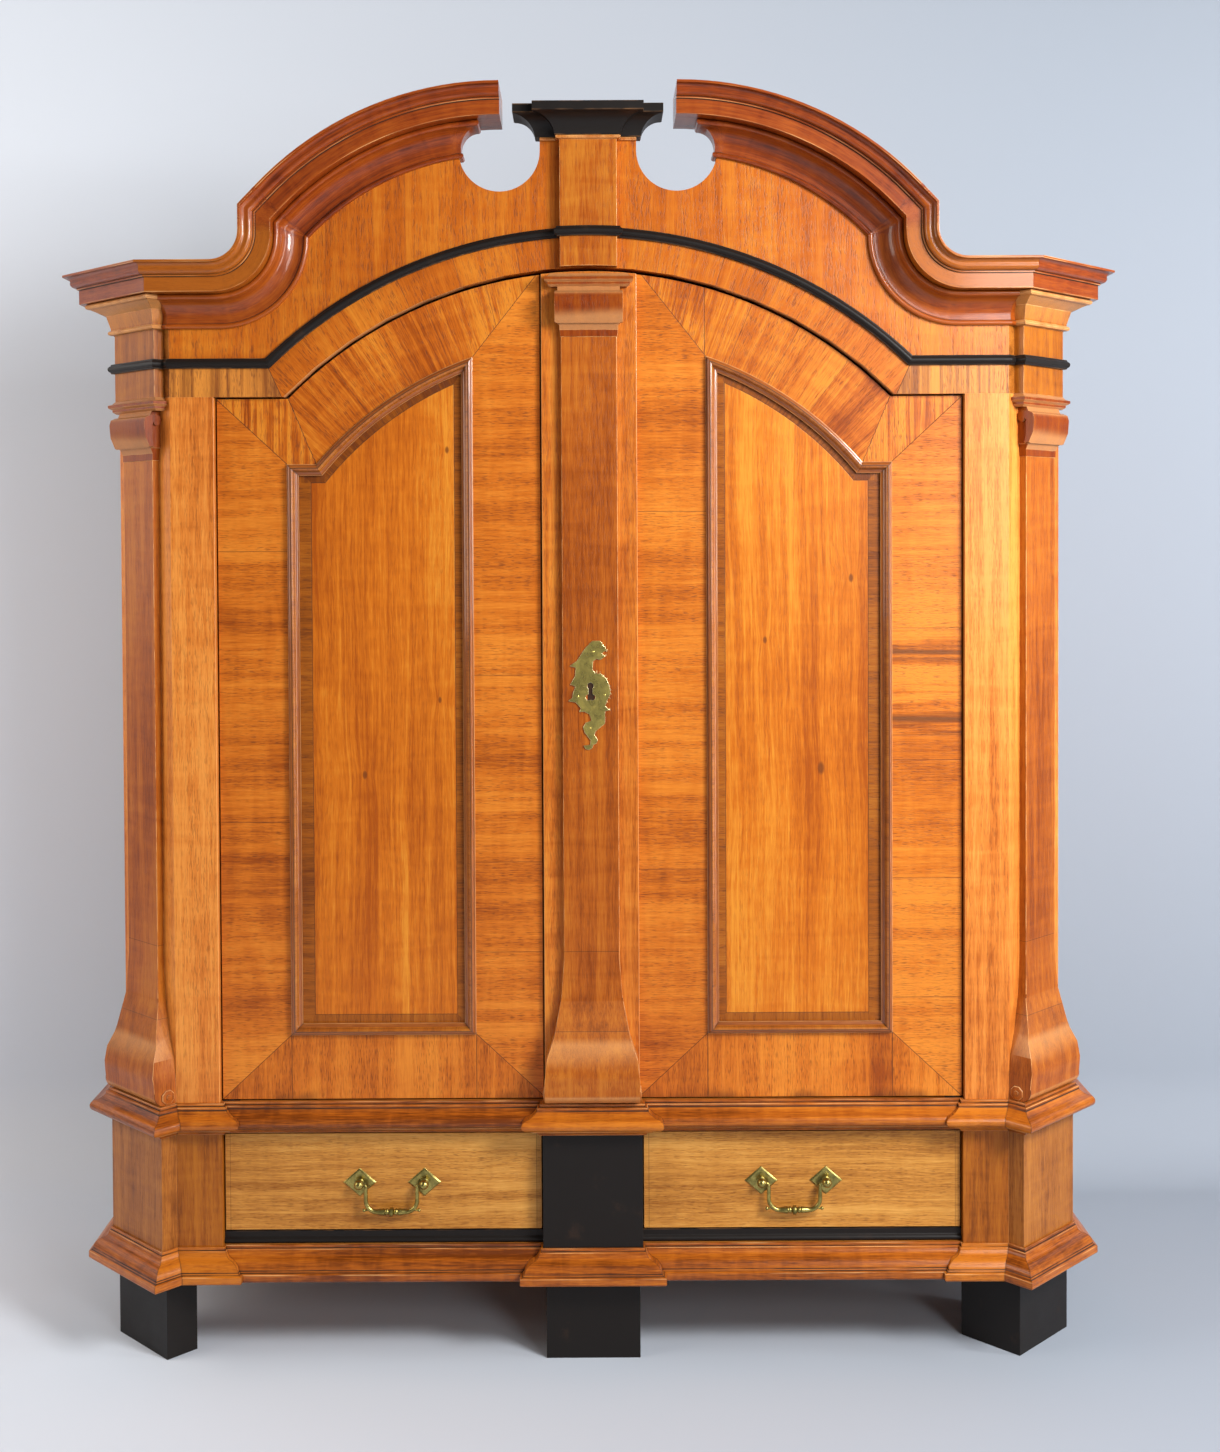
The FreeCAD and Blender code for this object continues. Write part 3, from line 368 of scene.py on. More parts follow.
def doorVeneer():
    # Frame of both doors: stiles with level grain, upright rails, and an arch of radial leaves.
    door = {
        "panelInner": 0.214, "panelOuter": 0.556, "panelFoot": 0.595, "shoulder": 1.650,
        "crown": 1.8453, "headKink": (0.5527, 1.770), "foot": 0.476,
        "patch": (1.1458, 1.1500, 1.339, 1.3433),
        "leaves": ((0.245, 0.12), (0.395, -0.14), (0.52, 0.10), (0.66, -0.06)),
        "joints": ((0.8995, 1, 0.10), (0.9144, -1, 0.08), (0.7473, -1, -0.07),
                   (0.8810, 2, -0.12), (1.3433, 2, 0.05), (1.1458, 2, 0.10),
                   (1.0996, 2, -0.05), (1.4900, -2, 0.09), (0.9900, -2, -0.06),
                   # The last entry, at height 0, is no joint: it makes the whole outer stile of
                   # the right door lighter, as painted light.
                   (1.5600, 1, -0.10), (1.2600, -1, 0.05), (0.6600, 2, 0.06), (0, 2, 0.14)),
    }
    material, tree = startMaterial("walnutDoorVeneer")
    x, y, z = splitVector(objectPlace(tree))
    side = abs(x)
    outside = side - door["panelOuter"]
    inside = door["panelInner"] - side
    foot = door["panelFoot"] - outside.greater(inside).greater(0.0) * 0.93
    rail = foot - z                                   # above 0 in the bottom rail
    head = z - (door["crown"] + inside * 1.27)        # above 0 over the inner mitre
    wing = z - (door["shoulder"] + outside * 0.93)    # above 0 over the outer mitre
    inner = inside.above(0.0)
    outer = outside.above(0.0)
    overPanel = (1.0 - inner) * (1.0 - outer) * z.above(1.2)
    arched = (inner * head.above(0.0)).greater(outer * wing.above(0.0)).greater(overPanel)
    reach, turn = archPlace(side, z)[1:]
    kinkX, kinkZ = door["headKink"]
    ragged = stretchedNoise(objectPlace(tree), (90.0, 0.0, 160.0)) - 0.5
    lean = (side - kinkX) - (z - kinkZ) * 0.42 + ragged * 0.006    # above 0 in the corner leaf
    cornerLeaf = lean.above(0.0) * arched
    upright = rail.above(0.0).greater(cornerLeaf)
    handed = x.above(0.0) * 3.7
    level = makeVector(x, z + handed, y)
    standing = makeVector(z + handed, x, y)
    radial = makeVector(reach + handed, turn * 0.72, y)
    grain = mixVectors(upright, mixVectors(arched, level, radial), standing)

    seamsAndShade = line(rail, 0.0, 0.0011) * outer.greater(inner)
    seamsAndShade = seamsAndShade.greater(line(head, 0.0, 0.0012) * inner)
    seamsAndShade = seamsAndShade.greater(line(wing, 0.0, 0.0012) * outer)
    seamsAndShade = seamsAndShade.greater(line(lean, 0.0, 0.0010) * arched)
    for place in (door["panelInner"], door["panelOuter"]):
        seamsAndShade = seamsAndShade.greater(line(side, place, 0.0011) * rail.above(-0.004) * 0.8)
    seamsAndShade = seamsAndShade.greater(line(side, door["panelInner"] - 0.002, 0.0009)
                          * head.above(0.0) * x.above(0.0))
    leaf = x * 0.0
    # Tone steps above the joints; the entry at height 0 is painted light on the right door's outer
    # stile.
    for place, where, change in door["joints"]:
        near = inner if abs(where) == 1 else outer
        hand = x.above(0.0) if where > 0 else x.below(0.0)
        here = near * hand * (1.0 - arched)
        seamsAndShade = seamsAndShade.greater(line(z, place, 0.0010) * here * 0.6)
        leaf = leaf + z.above(place) * here * change
    seamsAndShade, leaf = addJoints(seamsAndShade, leaf, turn, door["leaves"], arched,
                            arched * (1.0 - cornerLeaf) * 0.5, 0.0011)

    figure = arched * 0.15 + 0.3
    toneBase, fibres, fleck = walnutTone(grain, figure, 48.0)
    flame = stretchedNoise(grain, (4.0, 120.0, 70.0), 3.0, 0.55, 0.8)
    rays = stretchedNoise(grain, (4.0, 120.0, 30.0), 3.0, 0.6, 0.4)
    golden = cornerLeaf.greater(inner * head.above(0.0) * (1.0 - head.between(0.01, 0.10)))
    tone = (toneBase * 1.4 - 0.2 + leaf + golden * ((flame - 0.5) * 2.4 + 0.22)
            + arched * (1.0 - golden) * ((rays - 0.5) * 1.1 - 0.05))
    patch = (outer * x.above(0.0) * z.between(*door["patch"][:2])
             * (1.0 - z.between(*door["patch"][2:])))
    stripes = stretchedNoise(grain, (1.4, 38.0, 10.0), 2.0, 0.5, 0.3)
    tone = tone + patch * ((stripes - 0.52) * 3.6)
    soot = patch * (1.0 - stripes.between(0.36, 0.5))
    colour = mixColours(arched, shaded(tone, walnut["stile"]), shaded(tone, walnut["arch"]))
    colour = mixColours(soot * 0.75, colour, (0.16, 0.060, 0.018))
    grime = noise(objectPlace(tree), 9.0, 3.0, 0.6)
    dirt = (seamsAndShade * 0.9).greater((1.0 - (z - door["foot"]).between(0.0, 0.02))
                                 * grime.between(0.48, 0.66) * 0.45)
    polished(tree, colour, fibres, fleck, dirt, arrisWear(tree) * 0.7)
    return material


def panelVeneer():
    # Upright figured field inside a darker border whose grain points at the field.
    field = {"inner": 0.249, "outer": 0.513, "foot": 0.631, "shoulder": 1.616,
             "radius": 0.6269,
             "knots": ((0.4815, 1.436, 0.6), (0.4254, 1.0849, 0.9), (0.3225, 1.3223, 0.5),
                       (-0.4178, 1.076, 0.6), (-0.2622, 1.6754, 0.5), (-0.2782, 1.2143, 0.45))}
    material, tree = startMaterial("walnutPanelVeneer")
    x, y, z = splitVector(objectPlace(tree))
    side = abs(x)
    rise, reach, turn = archPlace(side, z)
    sides = (field["inner"] - side).greater(side - field["outer"])
    foot = field["foot"] - z
    over = reach - field["radius"] - rise.below(0.0)
    cap = z - field["shoulder"]
    over = over.lesser(cap)
    edge = sides.greater(foot).greater(over)
    border = edge.above(0.0)
    ragged = edge - (stretchedNoise(objectPlace(tree), (160.0, 0.0, 160.0), 1.0) - 0.5) * 0.001
    seam = line(ragged, 0.0, 0.0009)
    footward = foot.above(sides).greater(cap.above(0.0) * side.above(0.487))
    archward = over.above(sides) * over.above(0.0)
    handed = x.above(0.0) * 2.3
    level = makeVector(x + handed, z, y)
    standing = makeVector(z + handed, x, y)
    radial = makeVector(reach + handed, turn * 0.65, y)
    rim = mixVectors(footward, mixVectors(archward, level, radial), standing)

    bend = x * 0.0
    dark = x * 0.0
    for knotX, knotZ, size in field["knots"]:
        dx = (x - knotX) * (1.0 / (0.007 * size))
        dz = (z - knotZ) * (1.0 / (0.013 * size))
        far = dx * dx + dz * dz
        dark = dark.greater(1.0 - far.between(0.2, 1.6))
        bend = bend + dx * 0.004 / (far * 0.12 + 1.0)
    flow = stretchedNoise(objectPlace(tree), (5.0, 0.0, 1.6)) - 0.5
    inner = makeVector(z + handed, x + bend + flow * 0.035, y)
    grain = mixVectors(border, inner, rim)
    tone, fibres, fleck = walnutTone(grain, 0.2, 95.0)
    curl = stretchedNoise(inner, (16.0, 34.0, 8.0), 2.0, 0.55, 1.4)
    gleam = stretchedNoise(inner, (0.8, 14.0, 4.0))
    inField = 1.0 - border
    # The right door's field is made 0.16 lighter than the left's: painted light.
    fieldToneAndPaintedLight = tone + inField * ((curl - 0.5) * 0.25 + (gleam - 0.5) * 0.9 + (tone - 0.5) * 0.5
                            + x.above(0.0) * 0.16 - 0.13)
    colour = mixColours(border, shaded(fieldToneAndPaintedLight, walnut["panel"]),
                        shaded(tone - archward * 0.2 - 0.08, walnut["border"]))
    colour = mixColours(dark * 0.8 * inField, colour, (0.14, 0.035, 0.008))
    polished(tree, colour, fibres, fleck * (0.35 + border * 0.65), seam * 0.7)
    return material


def friezeVeneer():
    # Upright veneer on the head, radial under the black band and boldly striped on its level ends.
    frieze = {"reach": 0.846, "end": 0.80, "kink": (0.563, 1.773), "levelTop": 1.834,
              "leaves": ((0.16, 0.10), (0.30, -0.12), (0.43, 0.12), (0.57, -0.08)),
              "joints": ((0.170, 0.08), (0.335, -0.07), (0.480, 0.06))}
    material, tree = startMaterial("walnutFriezeVeneer")
    x, y, z = splitVector(objectPlace(tree))
    side = abs(x)
    reach, turn = archPlace(side, z)[1:]
    under = reach.below(frieze["reach"]) * side.below(frieze["end"])
    kinkX, kinkZ = frieze["kink"]
    kink = (side - kinkX) - (z - kinkZ) * 0.45
    level = kink.above(0.0) * z.below(frieze["levelTop"])
    arched = under * (1.0 - level)
    handed = x.above(0.0) * 5.1
    sway = stretchedNoise(objectPlace(tree), (2.0, 0.0, 1.0)) - 0.5
    standing = makeVector(z + handed, x + sway * 0.03, y)
    radial = makeVector(reach + handed, turn * 0.8, y)
    grain = mixVectors(arched, standing, radial)
    tone, fibres, fleck = walnutTone(grain, 0.35, 50.0)
    stripes = stretchedNoise(standing, (2.0, 85.0, 20.0), 3.0, 0.6, 0.4)
    seamsAndShade = line(kink, 0.0, 0.0010) * z.below(1.84) * side.below(0.70)
    seamsAndShade, leaf = addJoints(seamsAndShade, x * 0.0, turn, frieze["leaves"], arched, arched * 0.6, 0.0009)
    away = 1.0 - under
    seamsAndShade, leaf = addJoints(seamsAndShade, leaf, side, frieze["joints"], away, away * 0.45, 0.0007)
    nearKink = (kink * 5.0 + 0.15).lesser(0.5) - 0.5
    bold = mixColours((stripes + nearKink * 0.25).between(0.30, 0.62), (0.19, 0.066, 0.018),
                      (0.66, 0.255, 0.044))
    colour = mixColours(level * 0.75, shaded(tone + leaf, walnut["arch"]), bold)
    polished(tree, colour, fibres, fleck, seamsAndShade * 0.8, arrisWear(tree) * 0.6)
    return material


def drawerVeneer():
    # Level veneer with a joint near each end.
    material, tree = startMaterial("walnutDrawerVeneer")
    x, y, z = splitVector(objectPlace(tree))
    handed = x.above(0.0) * 4.3
    wave = stretchedNoise(objectPlace(tree), (3.0, 0.0, 5.0)) - 0.5
    grain = makeVector(x + handed, z + wave * 0.02 + handed, y)
    tone, fibres, fleck = walnutTone(grain, 0.15, 60.0)
    tone = (tone - 0.5) * 1.7 + 0.5
    side = abs(x)
    first, last = 0.104, 0.672
    ends = line(side, first, 0.0007).greater(line(side, last, 0.0007))
    colour = shaded(tone, walnut["drawer"])
    rubbed = noise(objectPlace(tree), 22.0, 4.0, 0.6).between(0.60, 0.75)
    colour = mixColours(rubbed * 0.3, colour, (0.30, 0.115, 0.030))
    polished(tree, colour, fibres, fleck * 0.8, ends * 0.5, arrisWear(tree) * 0.7)
    return material


def ebonised():
    material, tree = startMaterial("ebonisedWood")
    place = objectPlace(tree)
    brushed = stretchedNoise(place, (25.0, 25.0, 180.0), 3.0)
    rub = noise(place, 16.0, 4.0, 0.6)
    streaks = stretchedNoise(place, (9.0, 260.0, 260.0)).between(0.5, 0.62)
    worn = ownValue(tree, "wear") * rub.between(0.42, 0.56)
    colour = mixColours(rub.between(0.60, 0.80) * 0.5, (0.0102, 0.0075, 0.0062),
                        (0.052, 0.026, 0.014))
    colour = mixColours(worn * (0.3 + streaks * 0.5), colour, (0.20, 0.095, 0.035))
    finishMaterial(tree, {"Base Color": colour, "Roughness": 0.34 + rub * 0.25,
                          "Coat Weight": 0.04, "Coat Roughness": 0.18,
                          "Specular IOR Level": 0.20}, brushed, 0.25)
    return material


def agedBrass(name, clean, dull):
    material, tree = startMaterial(name)
    place = objectPlace(tree)
    tarnish = noise(place, 70.0, 4.0, 0.6).between(0.38, 0.72)
    scratch = stretchedNoise(place, (900.0, 900.0, 120.0), 1.0)
    dark = tarnish.greater(ownValue(tree, "crease"))
    colour = mixColours(dark, clean, dull)
    # Rubbed edges and the comb's teeth are clean bright brass: rubbed wear and painted glint.
    colour = mixColours(ownValue(tree, "wear") * 0.8, colour, (0.95, 0.86, 0.52))
    finishMaterial(tree, {"Base Color": colour, "Metallic": 1.0,
                          "Roughness": 0.27 + dark * 0.16}, scratch + tarnish, 0.12, 0.0003)
    return material


def blackIron():
    material, tree = startMaterial("blackenedIron")
    rust = noise(objectPlace(tree), 130.0, 5.0, 0.65)
    colour = mixColours(rust.between(0.5, 0.75), (0.045, 0.042, 0.04), (0.11, 0.045, 0.02))
    finishMaterial(tree, {"Base Color": colour, "Metallic": 0.6,
                          "Roughness": 0.45 + rust * 0.3}, rust, 0.3)
    return material


def softwood(name, along):
    # Plain pine: back boards, shelves and drawer boxes, unpolished and a little stained.
    material, tree = startMaterial(name)
    grain = grainAlong(tree, along)
    rings = stretchedNoise(grain, (0.9, 42.0, 42.0), 2.0, 0.5, 0.6)
    fibres = stretchedNoise(grain, (10.0, 500.0, 500.0))
    stain = noise(grain, 3.0, 3.0)
    tone = rings * 0.7 + fibres * 0.2 + stain * 0.35 - 0.12
    colour = shaded(tone, ((0.22, 0.105, 0.040), (0.43, 0.235, 0.095), (0.56, 0.350, 0.165)))
    finishMaterial(tree, {"Base Color": colour, "Roughness": 0.55 + stain * 0.2}, fibres, 0.3)
    return material


# Heights of the joints across the pilasters, whether in the middle (1) or on the corners (0),
# and how much the wood above each one differs.
shaftJoints = ((0.7528, 1, 0.05), (0.6090, 1, 0.08), (1.8826, 1, -0.06),
               (0.7608, 0, 0.05), (0.6273, 0, -0.08))

finishes = {
    "doorVeneer": doorVeneer(),
    "panelVeneer": panelVeneer(),
    "friezeVeneer": friezeVeneer(),
    "drawerVeneer": drawerVeneer(),
    "uprightWalnut": boardWalnut("walnutUpright", (0, 0, 1), walnut["post"]),
    "baseWalnut": boardWalnut("walnutBase", (0, 0, 1), walnut["base"]),
    "levelWalnut": boardWalnut("walnutLevel", (1, 0, 0), walnut["base"]),
    "shaftWalnut": boardWalnut("walnutShaft", (0, 0, 1), walnut["shaft"], joints=shaftJoints),
    "blockWalnut": boardWalnut("walnutBlock", (0, 0, 1), walnut["keystone"]),
    "friezeBlock": boardWalnut("walnutFriezeBlock", (0, 0, 1), walnut["basePost"]),
    "capitalWalnut": boardWalnut("walnutCapital", (0, 0, 1), walnut["capital"]),
    "stripWalnut": boardWalnut("walnutStrip", (0, 0, 1), walnut["strip"], 0.4),
    "basePostWalnut": boardWalnut("walnutBasePost", (0, 0, 1), walnut["basePost"]),
    "stickWalnut": stickWalnut("walnutStick", walnut["moulding"]),
    "corniceWalnut": stickWalnut("walnutCornice", walnut["cornice"], 0.5),
    "panelTrim": trimWalnut(),
    "ebonised": ebonised(),
    "agedBrass": agedBrass("agedBrass", (0.42, 0.34, 0.10), (0.17, 0.145, 0.045)),
    "plateBrass": agedBrass("plateBrass", (0.72, 0.57, 0.16), (0.50, 0.39, 0.10)),
    "blackIron": blackIron(),
    "pineUpright": softwood("softwoodUpright", (0, 0, 1)),
    "pineLevel": softwood("softwoodLevel", (1, 0, 0)),
    "pineDeep": softwood("softwoodDeep", (0, 1, 0)),
}

uses = {
    "doorVeneer": ("left_door_frame", "right_door_frame"),
    "panelVeneer": ("left_door_panel", "right_door_panel"),
    "friezeVeneer": ("frieze_board",),
    "drawerVeneer": ("left_drawer_front", "right_drawer_front"),
    "uprightWalnut": ("corner_post_left", "corner_post_right", "side_frames", "side_panels"),
    "stripWalnut": ("closing_strip",),
    "basePostWalnut": ("base_posts",),
    "baseWalnut": ("base_corner_blocks", "base_sides"),
    "levelWalnut": ("base_case", "cupboard_floor", "hood_case"),
    "shaftWalnut": ("centre_pilaster", "corner_pilaster_left", "corner_pilaster_right"),
    "capitalWalnut": ("centre_capital", "corner_capitals"),
    "panelTrim": ("left_panel_moulding", "right_panel_moulding"),
    "stickWalnut": ("base_moulding_front", "base_moulding_left", "base_moulding_right",
                    "waist_moulding_front", "waist_moulding_left", "waist_moulding_right"),
    "corniceWalnut": ("cornice_left", "cornice_right", "cornice_return_left",
                      "cornice_return_right"),
    "blockWalnut": ("keystone_block",),
    "friezeBlock": ("frieze_blocks",),
    "ebonised": ("centre_foot", "rear_feet", "corner_foot_left", "corner_foot_right",
                 "centre_plinth_block", "drawer_beads", "frieze_band", "keystone_cap"),
    "agedBrass": ("left_handle_posts", "right_handle_posts", "left_bail", "right_bail"),
    "plateBrass": ("escutcheon",),
    "blackIron": ("hinge_plates", "left_hinge_pins", "right_hinge_pins", "lock_case",
                  "lock_bolt"),
    "pineUpright": ("back_boards",),
    "pineLevel": ("shelves",),
    "pineDeep": ("left_drawer_box", "right_drawer_box", "drawer_partition"),
}
finishOf = {name: finishes[finish] for finish, names in uses.items() for name in names}
for name, material in finishOf.items():
    nodes[name].data.materials[0] = material
print("materials ready for", len(finishOf), "of", len(nodes), "nodes")


# Moulded sticks. A path's points carry the directions in which a profile's two measures run
# there, so one Geometry Nodes tree makes straight, mitred, curved and turned pieces alike.

def drawnOutline(outline, turn=9.0):
    # Plain points of an outline in millimetres; four numbers are an arc's middle and end.
    points = [Vector(outline[0])]
    for item in outline[1:]:
        first, through, last = points[-1], Vector(item[:2]), Vector(item[-2:])
        if len(item) == 4:
            a, b, c = first, through, last
            area = 2 * (a.x * (b.y - c.y) + b.x * (c.y - a.y) + c.x * (a.y - b.y))
            sizes = a.length_squared, b.length_squared, c.length_squared
            centre = Vector((
                (sizes[0] * (b.y - c.y) + sizes[1] * (c.y - a.y) + sizes[2] * (a.y - b.y)) / area,
                (sizes[0] * (c.x - b.x) + sizes[1] * (a.x - c.x) + sizes[2] * (b.x - a.x)) / area))
            start, middle, end = [math.atan2(p.y - centre.y, p.x - centre.x) for p in (a, b, c)]
            sweep = (end - start) % math.tau
            if (middle - start) % math.tau > sweep:
                sweep -= math.tau
            count = max(2, round(abs(math.degrees(sweep)) / turn))
            for i in range(1, count):
                angle = start + sweep * i / count
                points.append(centre + (a - centre).length * Vector((math.cos(angle),
                                                                     math.sin(angle))))
        points.append(last)
    return points


def easedOutline(points, ease=0.5, reach=2.4):
    # Corners become small rounds: outer ones rub bright (wear), hollow ones darken.
    # The darkening of the hollows (crease) is dirt and painted shade.
    area = sum(a.x * b.y - a.y * b.x for a, b in zip(points, points[1:] + points[:1]))
    rows = []
    for i, here in enumerate(points):
        into = here - points[i - 1]
        out = points[(i + 1) % len(points)] - here
        turn = math.atan2(into.x * out.y - into.y * out.x, into.dot(out)) * math.copysign(1, area)
        if abs(turn) < 0.35:
            rows.append((here, 0.0, 0.0))
            continue
        values = (0.0, 1.0) if turn > 0 else (1.0, 0.0)
        back = [here - into.normalized() * min(d, into.length * 0.45) for d in (reach, ease)]
        on = [here + out.normalized() * min(d, out.length * 0.45) for d in (ease, reach)]
        if (back[0] - back[1]).length < 0.05:
            back[1] = back[1].lerp(here, 0.5)
        if (on[0] - on[1]).length < 0.05:
            on[0] = on[0].lerp(here, 0.5)
        middle = (back[1] + on[0] + here * 2) / 4
        rows += [(back[0], 0.0, 0.0), (back[1], *values), (middle, *values), (on[0], *values),
                 (on[1], 0.0, 0.0)]
    return rows


def addValues(mesh, values, domain="POINT"):
    for name, numbers in values.items():
        isVector = hasattr(numbers[0], "__len__")
        kind = "FLOAT_VECTOR" if isVector else "FLOAT"
        layer = mesh.attributes.new(name, kind, domain)
        flat = [n for number in numbers for n in number] if isVector else numbers
        layer.data.foreach_set("vector" if isVector else "value", flat)


def makeProfile(name, rows):
    # Profile points in x and y, the length walked round it in z, closed by its first point.
    rows = rows + rows[:1]
    girth = [0.0]
    for a, b in zip(rows, rows[1:]):
        girth.append(girth[-1] + (b[0] - a[0]).length / 1000)
    mesh = bpy.data.meshes.new(name)
    mesh.from_pydata([(row[0].x / 1000, row[0].y / 1000, g) for row, g in zip(rows, girth)],
                     [], [])
    addValues(mesh, {"crease": [row[1] for row in rows], "wear": [row[2] for row in rows]})
    return bpy.data.objects.new(name, mesh)


class Station:
    def __init__(self, place, proud, rise, forward, travel=0.0, dirt=0.0):
        self.place = Vector(place)          # in millimetres, y from the front plane
        self.proud = Vector(proud)
        self.rise = Vector(rise)
        self.forward = Vector(forward)
        self.travel = travel / 1000
        self.dirt = dirt

    def mirrored(self):
        turned = [Vector((-v.x, v.y, v.z))
                  for v in (self.place, self.proud, self.rise, self.forward)]
        return Station(*turned, self.travel * 1000, self.dirt)


joint = {"gap": 0.12, "dirtyLength": 3.0, "dirt": 0.55}


def jointed(stick, gap=joint["gap"]):
    # The ends draw back by a hair for the open joint, and a little dirt gathers at them.
    first, last = stick[0], stick[-1]
    places = ((gap, joint["dirt"]), (joint["dirtyLength"], 0.0))
    starts = [Station(first.place + first.forward * d, first.proud, first.rise, first.forward,
                      first.travel * 1000, dirt) for d, dirt in places]
    ends = [Station(last.place - last.forward * d, last.proud, last.rise, last.forward,
                    last.travel * 1000, dirt) for d, dirt in reversed(places)]
    return starts + stick[1:-1] + ends


def mirroredStick(stick):
    return [station.mirrored() for station in stick]


def makePath(name, sticks, seed, leaves):
    dice = random.Random(seed)
    leaves = leaves or [dice.uniform(0.2, 0.8) for stick in sticks]
    shifts = [dice.uniform(0.0, 30.0) for stick in sticks]
    stations = [station for stick in sticks for station in stick]
    mesh = bpy.data.meshes.new(name)
    mesh.from_pydata([(s.place.x / 1000, s.place.y / 1000 + frontY, s.place.z / 1000)
                      for s in stations], [], [])
    addValues(mesh, {
        "proud": [tuple(s.proud) for s in stations],
        "rise": [tuple(s.rise) for s in stations],
        "forward": [tuple(s.forward) for s in stations],
        "travel": [s.travel + shift for stick, shift in zip(sticks, shifts) for s in stick],
        "dirt": [s.dirt for s in stations],
        "leaf": [leaf for stick, leaf in zip(sticks, leaves) for s in stick],
        "last": [float(i == len(stick) - 1) for stick in sticks for i in range(len(stick))],
    })
    return addObject(name, mesh)


def startGroup(name, inputs, output):
    # A Geometry Nodes tree with its named inputs and one output of geometry.
    tree = bpy.data.node_groups.new(name, "GeometryNodeTree")
    for key, kind in inputs.items():
        tree.interface.new_socket(key, in_out="INPUT", socket_type="NodeSocket" + kind)
    tree.interface.new_socket(output, in_out="OUTPUT", socket_type="NodeSocketGeometry")
    return tree, {key: addNode(tree, "NodeGroupInput", None, None, key) for key in inputs}


def chained(tree, shape, *steps):
    for kind, settings, inputs in steps:
        shape = addNode(tree, "GeometryNode" + kind, settings, {"Geometry": shape, **inputs})
    return shape


def buildStickTree():
    tree, given = startGroup("mouldedStick", {"Path": "Geometry", "Profile": "Object",
                                              "Weld distance": "Float", "Finish": "Material"},
                             "Sticks")
    profile = addNode(tree, "GeometryNodeObjectInfo", None, {"Object": given["Profile"]},
                      "Geometry")
    counts = [addNode(tree, "GeometryNodeAttributeDomainSize", None, {"Geometry": part},
                      "Point Count") for part in (given["Path"], profile)]
    grid = addNode(tree, "GeometryNodeMeshGrid", None,
                   {"Vertices X": counts[0], "Vertices Y": counts[1]}, "Mesh")
    index = addNode(tree, "GeometryNodeInputIndex")
    station = ((index + 0.5) / counts[1]).maths("FLOOR")
    corner = index - station * counts[1]

    def read(source, place, name, kind="FLOAT"):
        if name == "position":
            value = addNode(tree, "GeometryNodeInputPosition")
        else:
            value = addNode(tree, "GeometryNodeInputNamedAttribute", {"data_type": kind},
                            {"Name": name}, "Attribute")
        return addNode(tree, "GeometryNodeSampleIndex", {"data_type": kind},
                       {"Geometry": source, "Value": value, "Index": place}, "Value")

    place, proud, rise, forward = [read(given["Path"], station, name, "FLOAT_VECTOR")
                                   for name in ("position", "proud", "rise", "forward")]
    drawn = read(profile, corner, "position", "FLOAT_VECTOR")
    out, up, girth = splitVector(drawn)
    step = vectorMaths("ADD", vectorMaths("SCALE", proud, out), vectorMaths("SCALE", rise, up))
    along = read(given["Path"], station, "travel") + vectorMaths("DOT_PRODUCT", step, forward,
                                                                "Value")
    values = {
        "grain": makeVector(along, girth, 0.0),
        "crease": read(profile, corner, "crease").greater(read(given["Path"], station, "dirt")),
        "wear": read(profile, corner, "wear"),
        "leaf": read(given["Path"], station, "leaf"),
    }
    shape = grid
    for name, value in values.items():
        kind = "FLOAT_VECTOR" if name == "grain" else "FLOAT"
        shape = addNode(tree, "GeometryNodeStoreNamedAttribute",
                        {"data_type": kind, "domain": "POINT"},
                        {"Geometry": shape, "Name": name, "Value": value})
    row = ((index + 0.5) / (counts[1] - 1.0)).maths("FLOOR")
    bridge = read(given["Path"], row, "last").above(0.5)
    shape = chained(tree, shape,
                    ("SetPosition", None, {"Position": vectorMaths("ADD", place, step)}),
                    ("DeleteGeometry", {"domain": "FACE", "mode": "ALL"}, {"Selection": bridge}),
                    ("MergeByDistance", None, {"Distance": given["Weld distance"]}),
                    ("SetShadeSmooth", None, {}), ("RealizeInstances", None, {}),
                    ("SetMaterial", None, {"Material": given["Finish"]}))
    addNode(tree, "NodeGroupOutput", None, {"Sticks": shape})
    return tree


stickTree = buildStickTree()


def nodesResult(target, tree, inputs):
    # Runs a Geometry Nodes tree on an object and returns its result as a plain mesh.
    modifier = target.modifiers.new(tree.name, "NODES")
    modifier.node_group = tree
    keys = {item.name: item.identifier for item in tree.interface.items_tree
            if item.in_out == "INPUT"}
    for name, value in inputs.items():
        modifier[keys[name]] = value
    seen = target.evaluated_get(bpy.context.evaluated_depsgraph_get())
    mesh = bpy.data.meshes.new_from_object(seen)
    target.modifiers.remove(modifier)
    return mesh


def softNormals(mesh, limit=38.0):
    # Each corner takes the area weighted mean of the faces round it that turn less than limit.
    near = math.cos(math.radians(limit))
    around = [[] for vertex in mesh.vertices]
    looks = [face.normal.copy() for face in mesh.polygons]
    areas = [max(face.area, 1e-10) for face in mesh.polygons]
    for face in mesh.polygons:
        for vertex in face.vertices:
            around[vertex].append(face.index)
    normals = []
    for face in mesh.polygons:
        own = looks[face.index]
        for vertex in face.vertices:
            total = Vector()
            for other in around[vertex]:
                if looks[other].dot(own) > near:
                    total += looks[other] * areas[other]
            normals.append(total.normalized())
    mesh.polygons.foreach_set("use_smooth", [True] * len(mesh.polygons))
    mesh.normals_split_custom_set(normals)


def finishPiece(name, mesh, replaced):
    piece = addObject(name, mesh)
    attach(piece, nodes[replaced[0]]["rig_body"])
    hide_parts(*replaced)
    return piece


